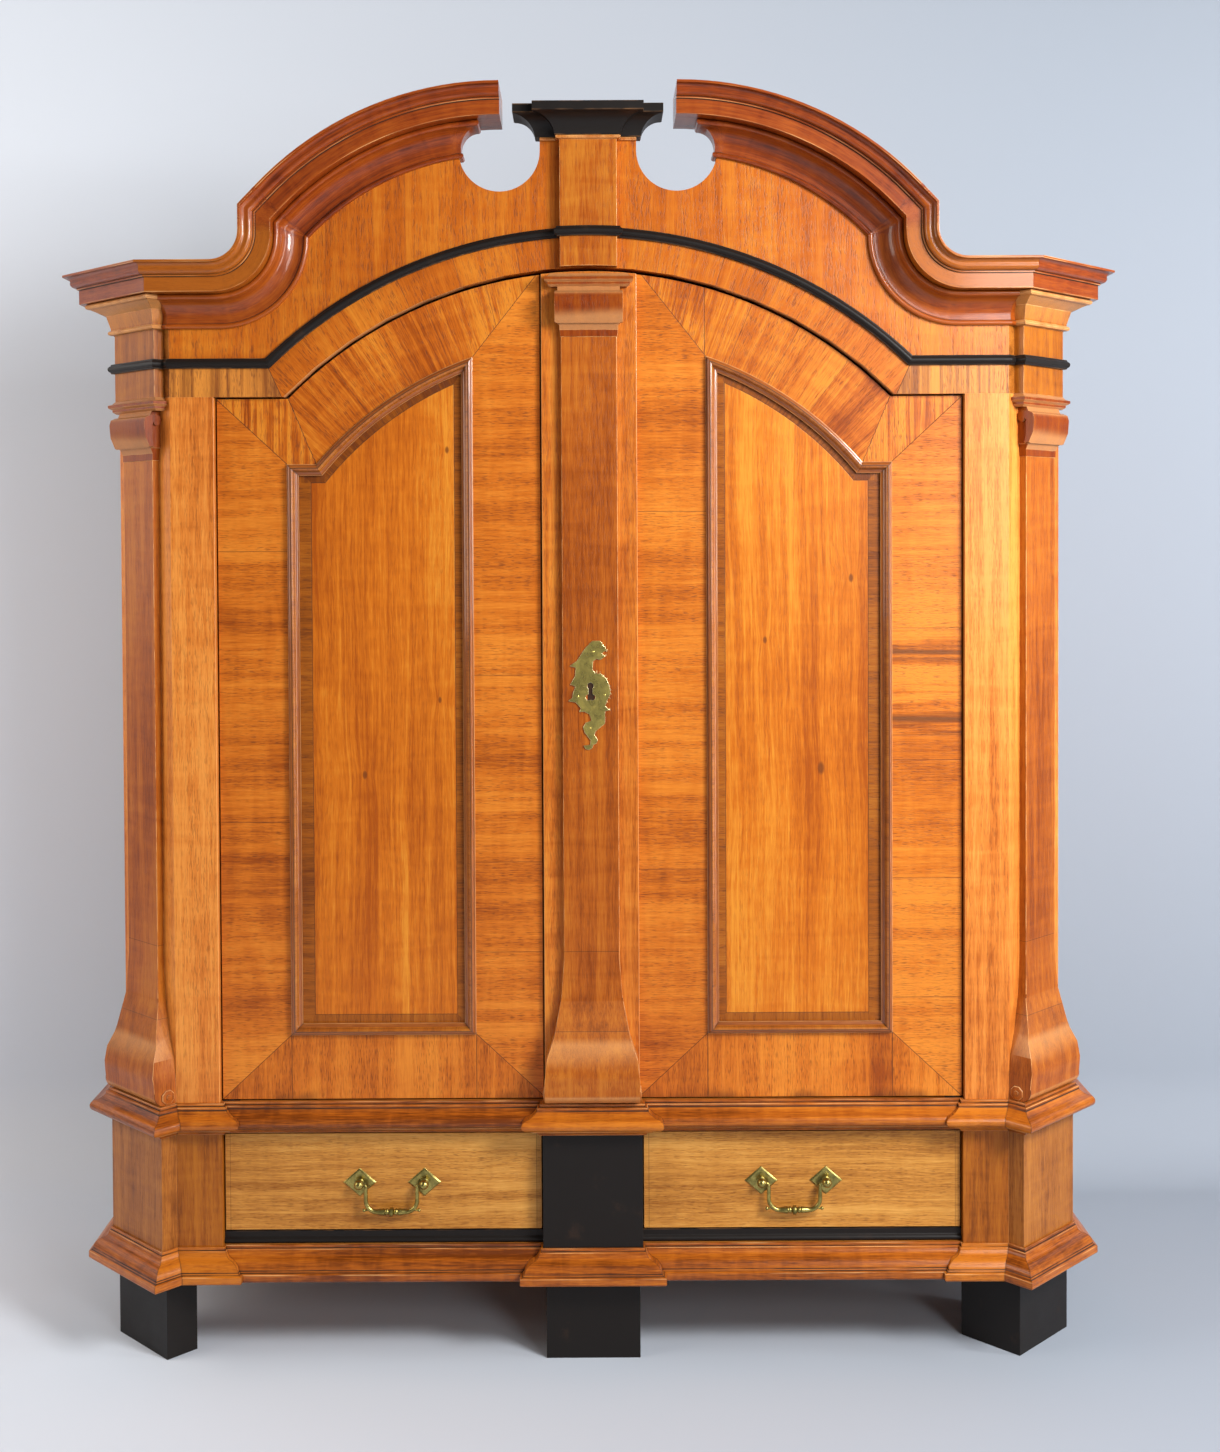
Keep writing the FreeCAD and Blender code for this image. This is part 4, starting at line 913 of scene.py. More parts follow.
def makeSticks(name, sticks, profile, finish, replaced, seed=1, extra=None, leaves=None):
    path = makePath(name + "Path", sticks, seed, leaves)
    mesh = nodesResult(path, stickTree, {"Profile": profile, "Weld distance": 1e-5,
                                         "Finish": finishes[finish]})
    bpy.data.objects.remove(path)
    shape = bmesh.new()
    shape.from_mesh(mesh)
    bmesh.ops.dissolve_degenerate(shape, dist=1e-6, edges=shape.edges)
    rims = [edge for edge in shape.edges if edge.is_boundary]
    bmesh.ops.holes_fill(shape, edges=rims, sides=0)
    if extra is not None:
        extra(shape)
    bmesh.ops.recalc_face_normals(shape, faces=shape.faces)
    shape.to_mesh(mesh)
    shape.free()
    mesh.materials.clear()
    mesh.materials.append(finishes[finish])
    mesh.polygons.foreach_set("material_index", [0] * len(mesh.polygons))
    softNormals(mesh)
    return finishPiece(name, mesh, replaced)


# Level mouldings follow the plan of the corners; each stick ends on the mitre with its neighbour.

carcass = {"postX": 768.0, "cant": 176.0, "sideX": 892.451, "baseSideX": 915.078, "back": 600.0,
           "archCentre": 1221.0}
up = Vector((0, 0, 1))


def cantPoint(along, proud):
    diagonal = math.sqrt(0.5)
    return (-carcass["postX"] - (along + proud) * diagonal, (along - proud) * diagonal)


def planSticks(corners, z):
    corners = [Vector((*corner, z)) for corner in corners]
    steps = [(b - a).normalized() for a, b in zip(corners, corners[1:])]
    walls = [Vector((step.y, -step.x, 0)) for step in steps]
    leans = [(a + b) / (1 + a.dot(b)) for a, b in zip(walls, walls[1:])]
    leans = walls[:1] + leans + walls[-1:]
    sticks = []
    for i, step in enumerate(steps):
        length = (corners[i + 1] - corners[i]).length
        sticks.append(jointed([Station(corners[i], leans[i], up, step),
                               Station(corners[i + 1], leans[i + 1], up, step, length)]))
    return sticks


base = {
    "baseMouldingEnds": (1.15, 1.0, 1.05, 1.2), "waistMouldingEnds": (0.5, 0.6, 1.0, 1.1),
    "mouldingFoot": 150.0, "waistFoot": 416.0, "stileX": 684.0, "recess": 10.0,
    "blockX": 92.0, "blockY": -14.0, "blockProud": 32.0,
    "moulding": [(0, 0), (36, 0), (41, 2, 42, 7), (42, 15), (37, 17), (34, 20), (30, 30, 16, 37),
                 (10, 41, 7, 49), (4, 50), (4, 56), (0, 56)],
    "waist": [(0, 0), (6, 0), (9, 5, 14, 8), (18, 9), (20, 14), (30, 15), (38, 25, 30, 35),
              (24, 36), (18, 39, 10, 46), (10, 51), (5, 52), (5, 57), (0, 57)],
}


def makeBaseMouldings():
    left = [(-carcass["baseSideX"], carcass["back"]),
            cantPoint(carcass["cant"], base["blockProud"]), cantPoint(0, base["blockProud"]),
            (-carcass["postX"], 0), (-base["stileX"], 0), (-base["stileX"], base["recess"]),
            (-base["blockX"], base["recess"]), (-base["blockX"], base["blockY"])]
    corners = left + [(-x, y) for x, y in reversed(left)]
    for kind, foot, outline in (("baseMoulding", base["mouldingFoot"], base["moulding"]),
                                ("waistMoulding", base["waistFoot"], base["waist"])):
        profile = makeProfile(kind + "Profile", easedOutline(drawnOutline(outline)))
        sticks = planSticks(corners, foot)
        node = kind.replace("Moulding", "_moulding_")
        leaves = [0.5, 0.3, 0.45, *base[kind + "Ends"][:2], 0.4, 0.5, 0.6, 0.5, 0.35,
                  *base[kind + "Ends"][2:], 0.5, 0.4, 0.55]
        for side, start, end in (("left", 0, 5), ("front", 5, 10), ("right", 10, 15)):
            makeSticks(kind + side.title(), sticks[start:end], profile, "stickWalnut",
                       [node + side], len(side) + int(foot), None, leaves[start:end])


makeBaseMouldings()
print("base and waist mouldings made")


# The cornice: a bed moulding under a corona and crown, on level, cove, kink and arc.

cornice = {
    "centre": Vector((-160, 0, 1724)), "radius": 486.0, "kinkX": -510.0, "tipX": -158.0,
    "bedFoot": 1897.0, "wallX": -236.0, "wallRise": 1.07, "boardBack": 30.0, "mitre": 113.0,
    "golds": {"bed": 1.15, "crown": 1.5},    # a leaf value over 1 is a golden stick
    "bed": [(0, 0), (5, 0), (9.5, 4.5, 5, 9), (5, 12), (12.5, 38, 33, 49), (34.9, 49),
            (39.5, 54, 35, 59), (0, 59)],
    "crown": [(0, 59), (67, 59), (67, 86), (71, 86), (71, 90), (80, 92, 82, 98),
              (84, 106, 93, 108), (95, 108), (95, 112.2), (-50, 112.2), (-50, 59)],
}


def corniceSticks():
    centre, radius, kinkX = cornice["centre"], cornice["radius"], cornice["kinkX"]
    kink = Vector((kinkX, 0, centre.z + math.sqrt(radius**2 - (kinkX - centre.x)**2)))
    outward = (kink - centre).normalized()
    tangent = Vector((outward.z, 0, -outward.x))
    front = Vector((0, -1, 0))
    offset = cornice["mitre"]
    start = kink + outward * offset
    mitre = start - tangent * ((start.x - (kinkX - offset)) / tangent.x)
    seam = (mitre - kink).normalized()

    cove = kink.z - cornice["bedFoot"]
    coveX = kinkX - cove
    corner = Vector((-carcass["postX"], 0, cornice["bedFoot"]))
    lean = Vector((-math.tan(math.radians(22.5)), -1, 0))
    level = coveX + carcass["postX"]
    lower = [Station(corner, lean, up, (1, 0, 0)),
             Station((coveX, 0, cornice["bedFoot"]), front, up, (1, 0, 0), level)]
    for i in range(1, 19):
        angle = math.radians(-90 + 5 * i)
        radial = Vector((math.cos(angle), 0, math.sin(angle)))
        lower.append(Station(Vector((coveX, 0, kink.z)) + radial * cove, front, -radial,
                             (-radial.z, 0, radial.x), level + cove * math.radians(5 * i)))
    lower.append(Station(kink, front, seam / -seam.x, up, lower[-1].travel * 1000 + 0.1))

    upper = [Station(kink, front, seam / seam.dot(outward), tangent),
             Station(kink, front, outward, tangent, 0.1)]
    first = math.degrees(math.atan2(outward.z, outward.x))

    def onArc(degrees):
        angle = math.radians(degrees)
        look = Vector((math.cos(angle), 0, math.sin(angle)))
        return Station(centre + look * radius, front, look, (look.z, 0, -look.x),
                       radius * math.radians(first - degrees))

    bedEnd = math.degrees(math.acos((cornice["wallX"] - centre.x) / radius))
    crownEnd = math.degrees(math.acos((cornice["tipX"] - centre.x) / radius))
    bed = upper + [onArc(first + (bedEnd + 1 - first) * i / 14) for i in range(1, 15)]
    foot = centre.z + math.sqrt(radius**2 - (cornice["wallX"] - centre.x)**2)
    rise = (0, 0, cornice["wallRise"])
    bed.append(Station((cornice["wallX"], 0, foot), (1, -1, 0), rise, (1, 0, 0),
                       radius * math.radians(first - bedEnd)))
    wrap = [Station((cornice["wallX"], 0, foot), (1, -1, 0), rise, (0, 1, 0)),
            Station((cornice["wallX"], cornice["boardBack"], foot), (1, 0, 0), rise, (0, 1, 0),
                    cornice["boardBack"])]
    crown = upper + [onArc(first + (crownEnd - first) * i / 19) for i in range(1, 20)]
    crown[-1].rise = up / crown[-1].rise.z
    return {"bed": [lower, bed, wrap], "crown": [lower, crown]}


def makeCornice():
    sticks = corniceSticks()
    returns = planSticks([(-carcass["sideX"], carcass["back"]), cantPoint(carcass["cant"], 0),
                          (-carcass["postX"], 0), (-carcass["postX"] + 50, 0)],
                         cornice["bedFoot"])[:2]
    for part, gold in cornice["golds"].items():
        rows = easedOutline(drawnOutline(cornice[part], 8.0))
        profile = makeProfile("cornice" + part.title() + "Profile", rows)
        for side in ("Left", "Right"):
            turned = (lambda stick: stick) if side == "Left" else mirroredStick
            replaced = "cornice_" + side.lower()
            makeSticks("cornice" + part.title() + side,
                       [turned(stick) for stick in sticks[part]], profile, "corniceWalnut",
                       [replaced], 5, None, (gold, 0.4, 0.5)[:len(sticks[part])])
            makeSticks("corniceReturn" + part.title() + side,
                       [turned(stick) for stick in returns], profile, "corniceWalnut",
                       [replaced.replace("cornice_", "cornice_return_")], 6)


makeCornice()
print("cornice made")


# Black band: level on the corners and ends, arched over the doors, breaking round the keystone.

band = {
    "foot": 1825.0, "radius": 840.0, "height": 18.0, "blockHalf": 69.5, "blockProud": 20.0,
    "keystone": 52.0, "keystoneProud": 20.0,
    "outline": [(0, 0), (5, 0), (6, 3), (9.9, 9, 6, 15), (5, 18), (0, 18)],
}


def makeBand():
    foot, height, radius = band["foot"], band["height"], band["radius"]
    low = foot - carcass["archCentre"]
    inner = math.sqrt(radius**2 - low**2)
    outer = math.sqrt((radius + height)**2 - (low + height)**2)
    along = carcass["cant"] / 2 - band["blockHalf"]
    far = carcass["cant"] / 2 + band["blockHalf"]
    plan = [(-carcass["sideX"], carcass["back"]), cantPoint(carcass["cant"], 0),
            cantPoint(far, 0), cantPoint(far, band["blockProud"]),
            cantPoint(along, band["blockProud"]), cantPoint(along, 0), (-carcass["postX"], 0),
            (-inner, 0)]
    level = planSticks(plan, foot)
    kink = Station((-inner, 0, foot), (0, -1, 0), ((inner - outer) / height, 0, 1), (1, 0, 0))
    level[-1][-1] = Station(kink.place - Vector((0.12, 0, 0)), kink.proud, kink.rise, (1, 0, 0),
                            level[-1][-1].travel * 1000)
    centre = Vector((0, 0, carcass["archCentre"]))

    def arched(x, proud, lean):
        angle = math.acos(x / radius)
        look = Vector((math.cos(angle), 0, math.sin(angle)))
        return Station(centre + look * radius - Vector((0, proud, 0)), lean, look,
                       (look.z, 0, -look.x), -angle * radius)

    half, proud = band["keystone"], band["keystoneProud"]
    start = math.degrees(math.acos(-inner / radius))
    end = math.degrees(math.acos(-half / radius))
    arch = [kink] + [arched(radius * math.cos(math.radians(start + (end - start) * i / 20)), 0,
                            (0, -1, 0)) for i in range(1, 20)]
    arch[0].travel = -math.radians(start) * radius / 1000
    arch.append(arched(-half, 0, (-1, -1, 0)))
    side = [arched(-half, 0, (-1, -1, 0)), arched(-half, proud, (-1, -1, 0))]
    for station in side:
        station.forward = Vector((0, -1, 0))
    over = [arched(half * (i - 2) / 2, proud, (lean, -1, 0))
            for i, lean in enumerate((-1, 0, 0, 0, 1))]
    left = level + [arch, side]
    sticks = left + [over] + [mirroredStick(stick) for stick in left]
    profile = makeProfile("bandProfile", easedOutline(drawnOutline(band["outline"]), 0.5, 1.5))
    makeSticks("friezeBand", sticks, profile, "ebonised", ["frieze_band"], 8)


makeBand()
print("band made")


# Raised mouldings round the panels: five mitred sticks, one of them on the arc.

panelTrim = {
    "innerX": 214.0, "outerX": 556.0, "foot": 595.0, "shoulder": 1650.0, "radius": 660.0,
    "width": 21.0, "face": 13.0,
    "outline": [(0, 0), (0, 3), (3, 4), (8, 11.9, 13, 6), (16, 2, 21, 0.5), (21, -5), (8.2, -5),
                (8.2, 0)],
}


def panelCorners(inset):
    x0, x1 = panelTrim["innerX"] + inset, panelTrim["outerX"] - inset
    z0, z1 = panelTrim["foot"] + inset, panelTrim["shoulder"] - inset
    radius = panelTrim["radius"] - inset
    shoulder = math.sqrt(radius**2 - (z1 - carcass["archCentre"])**2)
    crown = carcass["archCentre"] + math.sqrt(radius**2 - x0**2)
    return [Vector((x, panelTrim["face"], z)) for x, z in
            ((x0, z0), (x1, z0), (x1, z1), (shoulder, z1), (x0, crown))]


def makePanelMouldings():
    outer, inner = panelCorners(0.0), panelCorners(panelTrim["width"])
    leans = [(b - a) / panelTrim["width"] for a, b in zip(outer, inner)]
    centre = Vector((0, panelTrim["face"], carcass["archCentre"]))
    rise = Vector((0, -1, 0))
    sticks = []
    for i in range(5):
        j = (i + 1) % 5
        step = (outer[j] - outer[i]).normalized()
        stick = [Station(outer[i], leans[i], rise, step),
                 Station(outer[j], leans[j], rise, step, (outer[j] - outer[i]).length)]
        if i == 3:
            angles = [math.atan2(p.z - centre.z, p.x - centre.x) for p in (outer[3], outer[4])]
            between = []
            for k in range(1, 16):
                angle = angles[0] + (angles[1] - angles[0]) * k / 16
                look = Vector((math.cos(angle), 0, math.sin(angle)))
                between.append(Station(centre + look * panelTrim["radius"], -look, rise,
                                       (-look.z, 0, look.x),
                                       panelTrim["radius"] * (angle - angles[0])))
            stick = [stick[0]] + between + [stick[1]]
            stick[-1].travel = panelTrim["radius"] * (angles[1] - angles[0]) / 1000
            sticks.append(stick)
        else:
            sticks.append(jointed(stick, 0.1))
    profile = makeProfile("panelProfile", easedOutline(drawnOutline(panelTrim["outline"]),
                                                       0.4, 1.6))
    makeSticks("panelMouldingRight", sticks, profile, "panelTrim", ["right_panel_moulding"], 3)
    makeSticks("panelMouldingLeft", [mirroredStick(stick) for stick in sticks], profile,
               "panelTrim", ["left_panel_moulding"], 4)


makePanelMouldings()
print("panel mouldings made")


# Pieces worked from the solids: arrises eased, hollow corners dark with dirt and painted shade,
# the short faces of the scrolls' curls painted dark as shade, and outer ones rubbed (on the
# keyhole plate also painted bright as glints).

carved = {
    "centrePilaster": ("centre_pilaster", "shaftWalnut", 1.2),
    "cornerPilasterLeft": ("corner_pilaster_left", "shaftWalnut", 1.2),
    "cornerPilasterRight": ("corner_pilaster_right", "shaftWalnut", 1.2),
    "centreCapital": ("centre_capital", "capitalWalnut", 0.7),
    "cornerCapitals": ("corner_capitals", "capitalWalnut", 0.7),
    "friezeBlocks": ("frieze_blocks", "friezeBlock", 0.7),
    "keystoneBlock": ("keystone_block", "blockWalnut", 0.9),
    "keyholePlate": ("escutcheon", "plateBrass", 0.45),
}

# curl: lengths in metres of the short bevel faces, as in the scrolls, that are painted dark as the
# shade of their hollows.
carving = {"sharp": 28.0, "smooth": 33.0, "curl": (0.0025, 0.008)}

teeth = {
    "places": ((21, 88), (27, 82), (29.5, 76), (27, 67), (11, 36), (17, 34.5), (23, 30), (28, 25),
               (32, 18), (34.5, 11), (36, 4), (35.5, -3), (33, -10), (29.5, -17), (34, -32)),
    "towards": (8.0, 12.0), "length": 5.2, "root": 1.2, "half": 2.3, "height": 2.9,
    "keyhole": 1230.0,
}


def addTeeth(shape, kind):
    # The comb of small points down the keyhole plate's right edge.
    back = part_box("escutcheon")[1].y
    for x, z in teeth["places"]:
        foot = Vector((x, 0, z + teeth["keyhole"])) / 1000 + Vector((0, back, 0))
        out = Vector((x - teeth["towards"][0], 0, (z - teeth["towards"][1]) * 0.6)).normalized()
        side = Vector((out.z, 0, -out.x)) * teeth["half"] / 1000
        root = foot - out * teeth["root"] / 1000
        front = Vector((0, -teeth["height"], 0)) / 1000
        corners = [root + side, root - side, root + front,
                   foot + out * (teeth["length"] - teeth["root"]) / 1000 + front * 0.25]
        made = [shape.verts.new(corner) for corner in corners]
        for face in ((0, 1, 2), (0, 2, 3), (2, 1, 3), (1, 0, 3)):
            # Every face of a tooth counts as rubbed, which paints the teeth bright as glints.
            shape.faces.new([made[i] for i in face])[kind] = 1


def makeCarved(name, node, finish, ease):
    shape = bmesh.new()
    shape.from_mesh(nodes[node].data)
    kind = shape.faces.layers.int.new("kind")
    bmesh.ops.remove_doubles(shape, verts=shape.verts, dist=1e-5)
    bmesh.ops.dissolve_limit(shape, angle_limit=math.radians(1.0), verts=shape.verts,
                             edges=shape.edges)
    bmesh.ops.recalc_face_normals(shape, faces=shape.faces)
    sharp = [edge for edge in shape.edges
             if len(edge.link_faces) == 2
             and edge.calc_face_angle() > math.radians(carving["sharp"])]
    eased = bmesh.ops.bevel(shape, geom=sharp, offset=ease / 1000, segments=3, profile=0.5,
                            affect="EDGES", clamp_overlap=True)["faces"]
    bmesh.ops.recalc_face_normals(shape, faces=shape.faces)
    for face in eased:
        turn = sum(edge.calc_face_angle_signed(0.0) for edge in face.edges)
        length = max(edge.calc_length() for edge in face.edges)
        # Short convex faces in the scrolls' curls are painted dark instead of rubbed: painted
        # shade in the volutes' hollows.
        curl = name != "keyholePlate" and carving["curl"][0] < length < carving["curl"][1]
        face[kind] = 1 if turn > 0 and not curl else 2
    if name == "keyholePlate":
        addTeeth(shape, kind)
        bmesh.ops.recalc_face_normals(shape, faces=shape.faces)
    bmesh.ops.triangulate(shape, faces=[face for face in shape.faces if len(face.verts) > 4])
    kinds = [face[kind] for face in shape.faces]
    shape.faces.layers.int.remove(kind)
    mesh = bpy.data.meshes.new(name)
    shape.to_mesh(mesh)
    shape.free()
    addValues(mesh, {"crease": [float(k == 2) for k in kinds],
                     "wear": [float(k == 1) for k in kinds]}, "FACE")
    mesh.materials.append(finishes[finish])
    softNormals(mesh, carving["smooth"])
    finishPiece(name, mesh, [node])


for name, (node, finish, ease) in carved.items():
    makeCarved(name, node, finish, ease)
print("pilasters, capitals, blocks and keyhole plate made")


# Keystone cap and the beads under the drawers

cap = {"foot": 2242.0, "top": 2293.0, "half": 52.0, "proud": 20.0, "wing": 88.0, "back": 30.0,
       "outline": [(0, 0), (8, 0), (9, 3), (20, 24, 45, 34), (48, 35), (48, 51), (0, 51)]}
bead = {"foot": 206.0, "inner": 92.0, "outer": 684.0, "face": 20.0,
        "outline": [(-15, 0), (6, 0), (9, 5, 6, 10), (4, 12), (4, 23), (-15, 23)]}


def addBlock(shape, low, high):
    corners = [Vector((x, y + frontY * 1000, z)) / 1000 for x in (low[0], high[0])
               for y in (low[1], high[1]) for z in (low[2], high[2])]
    made = [shape.verts.new(corner) for corner in corners]
    for face in ((0, 1, 3, 2), (4, 6, 7, 5), (0, 4, 5, 1), (2, 3, 7, 6), (0, 2, 6, 4),
                 (1, 5, 7, 3)):
        shape.faces.new([made[i] for i in face])


def makeCap():
    wing, half, proud = cap["wing"], cap["half"], cap["proud"]
    plan = [(-wing, cap["back"]), (-wing, 0), (-half, 0), (-half, -proud), (half, -proud),
            (half, 0), (wing, 0), (wing, cap["back"])]
    profile = makeProfile("capProfile", easedOutline(drawnOutline(cap["outline"]), 0.7))

    def addLid(shape):
        addBlock(shape, (-half, -proud, cap["foot"]), (half, 0, cap["top"] - 0.1))
        addBlock(shape, (-wing, 0, cap["top"] - 12), (wing, cap["back"], cap["top"] - 0.1))

    sticks = planSticks(plan, cap["foot"])
    makeSticks("keystoneCap", sticks, profile, "ebonised", ["keystone_cap"], 2, addLid)


def makeBeads():
    profile = makeProfile("beadProfile", easedOutline(drawnOutline(bead["outline"]), 0.5, 1.6))
    right = planSticks([(bead["inner"] + 0.1, bead["face"]), (bead["outer"] - 0.1, bead["face"])],
                       bead["foot"])[0]
    makeSticks("drawerBeads", [right, mirroredStick(right)], profile, "ebonised",
               ["drawer_beads"], 3)


makeCap()
makeBeads()
print("keystone cap and beads made")


# Drawer handles: bevelled diamond plates, turned posts and a bent bail with a turned grip.

handle = {
    "x": 372.0, "z": 320.0, "spacing": 120.0, "face": 13.0, "plate": 2.5,
    "plateHeight": 26.5 / 31.0, "ballHeight": 13.0, "ball": 9.0, "pin": 2.2, "pinReach": 2.5,
    "rod": 3.3, "drop": 50.0,
    "inset": 12.6, "topBend": 4.0, "lowBend": 21.0,
    "bore": {"radius": 2.32, "length": 20.0, "beyond": 3.5},
    "postFoot": ((0, 8), (1.2, 8), (1.9, 7.6), (2.4, 6.4), (2.8, 4.9), (3.6, 4.5)),
    "plateRows": ((0.0, 31.0), (0.5, 31.0), (1.0, 30.6), (2.2, 27.4), (2.5, 26.6)),
    "knob": ((0, 1.7), (9.6, 1.7), (10.3, 2.5), (11.4, 3.1), (12.8, 3.2), (14, 2.7), (15, 1.8),
             (15.3, 0.8)),
    "grip": ((-24, 5.0), (-19, 5.8), (-15, 6.3), (-12.8, 6.4), (-12.1, 5.2),
             (-11.4, 5.1), (-10.4, 6.0), (-8.8, 6.3), (-7, 6.0), (-5.8, 5.0), (-4.2, 4.4),
             (-3.4, 6.6), (-2.6, 8.3), (-1.2, 8.5)),
}


def roundProfile(name, sides):
    points = [(math.cos(math.tau * i / sides), math.sin(math.tau * i / sides))
              for i in range(sides)]
    return makeProfile(name, [(Vector(point), 0.0, 0.0) for point in points])


def turnedStick(start, along, side, stations):
    other = Vector(along).cross(Vector(side))
    return [Station(Vector(start) + Vector(along) * d, Vector(side) * r, other * r, along, d)
            for d, r in stations]


def bailStick(arm, low, y):
    # A pin, two bends and half the grip, then the same mirrored: x, z, turn and radius.
    z, pin, rod = handle["z"], handle["pin"], handle["rod"]
    top, foot = handle["topBend"], handle["lowBend"]
    reach = handle["inset"] + handle["pinReach"]
    bends = [(arm - reach, z, 0, pin), (arm - top - 0.2, z, 0, pin)]
    for t in range(0, 91, 15):
        a = math.radians(t)
        bends.append((arm - top * (1 - math.sin(a)), z - top * (1 - math.cos(a)), -t,
                      pin + (rod - pin) * (t / 90)**2))
    bends.append((arm, z - 14, -90, rod + 0.4))
    for t in range(90, -1, -10):
        a = math.radians(t)
        bends.append((arm + foot * (1 - math.sin(a)), low + foot * (1 - math.cos(a)), -t,
                      rod + 0.5 + (90 - t) * 0.008))
    bends += [(handle["x"] + d, low, 0, r) for d, r in handle["grip"]]
    bends += [(2 * handle["x"] - x, z, -t, r) for x, z, t, r in reversed(bends)]
    bail = []
    for x, z, t, r in bends:
        a = math.radians(t)
        bail.append(Station((x, y, z), Vector((0, -1, 0)) * r,
                            Vector((-math.sin(a), 0, math.cos(a))) * r,
                            (math.cos(a), 0, math.sin(a))))
    return bail


def boreHole(piece, posts):
    # The balls are bored from the side that faces the bail, for its pins.
    bore = handle["bore"]
    centre = (posts[0][0].place.x + posts[1][0].place.x) / 2
    cutter = bmesh.new()
    for post in posts:
        x = post[0].place.x
        away = math.copysign(1.0, x - centre)
        turn = Matrix.Rotation(math.pi / 2, 4, "Y")
        place = Vector((x + away * (bore["beyond"] - bore["length"] / 2), handle["face"]
                        - handle["plate"] - handle["ballHeight"], handle["z"])) / 1000
        place += Vector((0, frontY, 0))
        bmesh.ops.create_cone(cutter, cap_ends=True, segments=24, radius1=bore["radius"] / 1000,
                              radius2=bore["radius"] / 1000, depth=bore["length"] / 1000,
                              matrix=Matrix.Translation(place) @ turn)
    mesh = bpy.data.meshes.new("borer")
    cutter.to_mesh(mesh)
    cutter.free()
    borer = addObject("borer", mesh)
    cut = piece.modifiers.new("bore", "BOOLEAN")
    cut.object = borer
    cut.solver = "EXACT"
    seen = piece.evaluated_get(bpy.context.evaluated_depsgraph_get())
    piece.data = bpy.data.meshes.new_from_object(seen)
    piece.modifiers.remove(cut)
    bpy.data.objects.remove(borer)
    softNormals(piece.data)


def makeHandles():
    rod = roundProfile("rodProfile", 20)
    diamond = roundProfile("diamondProfile", 4)
    face = handle["face"] - handle["plate"]
    front, level = (0, -1, 0), (1, 0, 0)
    ballArc = [(handle["ballHeight"] + handle["ball"] * math.sin(math.radians(t)),
                handle["ball"] * math.cos(math.radians(t))) for t in range(-60, 76, 9)]
    tip = handle["ballHeight"] + handle["ball"]
    post = [*handle["postFoot"], *ballArc, (tip, 1.6), (tip + 0.3, 0.9)]
    arm = handle["x"] - handle["spacing"] / 2 + handle["inset"]
    low = handle["z"] - handle["drop"]
    y = face - handle["ballHeight"]
    knobs = [turnedStick((handle["x"] + side * (handle["x"] - arm) - side * 9, y, low + 3),
                         (side, 0, 0), front, handle["knob"]) for side in (-1, 1)]
    bail = [bailStick(arm, low, y)] + knobs

    for side, turned in (("Right", lambda stick: stick), ("Left", mirroredStick)):
        node = side.lower()
        makeSticks("bail" + side, [turned(stick) for stick in bail], rod, "agedBrass",
                   [node + "_bail"])
        posts = []
        plates = []
        for way in (-1, 1):
            x = handle["x"] + way * handle["spacing"] / 2
            posts.append(turned(turnedStick((x, face, handle["z"]), front, level, post)))
            back = Vector((x, handle["face"], handle["z"]))
            plates.append(turned([Station(back + Vector(front) * d, Vector(level) * r,
                                          up * r * handle["plateHeight"], front, d)
                                  for d, r in handle["plateRows"]]))
        made = makeSticks("handlePosts" + side, posts, rod, "agedBrass",
                          [node + "_handle_posts"])
        boreHole(made, posts)
        makeSticks("handlePlates" + side, plates, diamond, "agedBrass",
                   [node + "_handle_posts"])


makeHandles()
print("handles made")


# Nails: domed heads on points, turned to face one way.

nails = {
    "plateNails": ((0.0056, 1.304), (-0.023, 1.222), (0.026, 1.225), (-0.001, 1.164)),
    "backRows": (0.49, 0.865, 1.135, 1.485, 1.99), "backStep": 0.0864,
}


def buildNailTree():
    tree, given = startGroup("nailHeads", {"Places": "Geometry", "Radius": "Float",
                                           "Height": "Float", "Tilt": "Float", "Seed": "Int",
                                           "Finish": "Material"}, "Nails")
    ball = addNode(tree, "GeometryNodeMeshUVSphere", None, {"Segments": 14, "Rings": 8,
                                                            "Radius": 1.0}, "Mesh")
    size = makeVector(given["Radius"], given["Height"], given["Radius"])
    head = addNode(tree, "GeometryNodeTransform", None, {"Geometry": ball, "Scale": size})
    lean = addNode(tree, "FunctionNodeRandomValue", {"data_type": "FLOAT_VECTOR"},
                   {0: (-1.0, 0.0, -1.0), 1: (1.0, 0.0, 1.0), "Seed": given["Seed"]})
    turn = vectorMaths("SCALE", lean, given["Tilt"])
    heads = addNode(tree, "GeometryNodeInstanceOnPoints", None,
                    {"Points": given["Places"], "Instance": head, "Rotation": turn})
    shape = chained(tree, heads, ("RealizeInstances", None, {}), ("SetShadeSmooth", None, {}),
                    ("SetMaterial", None, {"Material": given["Finish"]}))
    addNode(tree, "NodeGroupOutput", None, {"Nails": shape})
    return tree


nailTree = buildNailTree()


def makeNails(name, places, radius, height, tilt, finish, body):
    mesh = bpy.data.meshes.new(name)
    mesh.from_pydata(places, [], [])
    dots = addObject(name + "Places", mesh)
    made = nodesResult(dots, nailTree, {"Radius": radius, "Height": height, "Tilt": tilt,
                                        "Seed": 7, "Finish": finishes[finish]})
    bpy.data.objects.remove(dots)
    piece = addObject(name, made)
    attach(piece, body)


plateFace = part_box("escutcheon")[0].y
makeNails("keyholePlateNails", [(x, plateFace, z) for x, z in nails["plateNails"]],
          0.0022, 0.0011, 0.0, "plateBrass", "right_door")
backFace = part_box("back_boards")[1].y
dice = random.Random(11)
backPlaces = [(-0.82 + nails["backStep"] * i + dice.uniform(-0.006, 0.006), backFace - 0.0011,
               z + dice.uniform(-0.004, 0.004)) for z in nails["backRows"] for i in range(20)]
makeNails("backNails", backPlaces, 0.0033, 0.0010, 0.05, "blackIron", "carcass")
print("nails made")


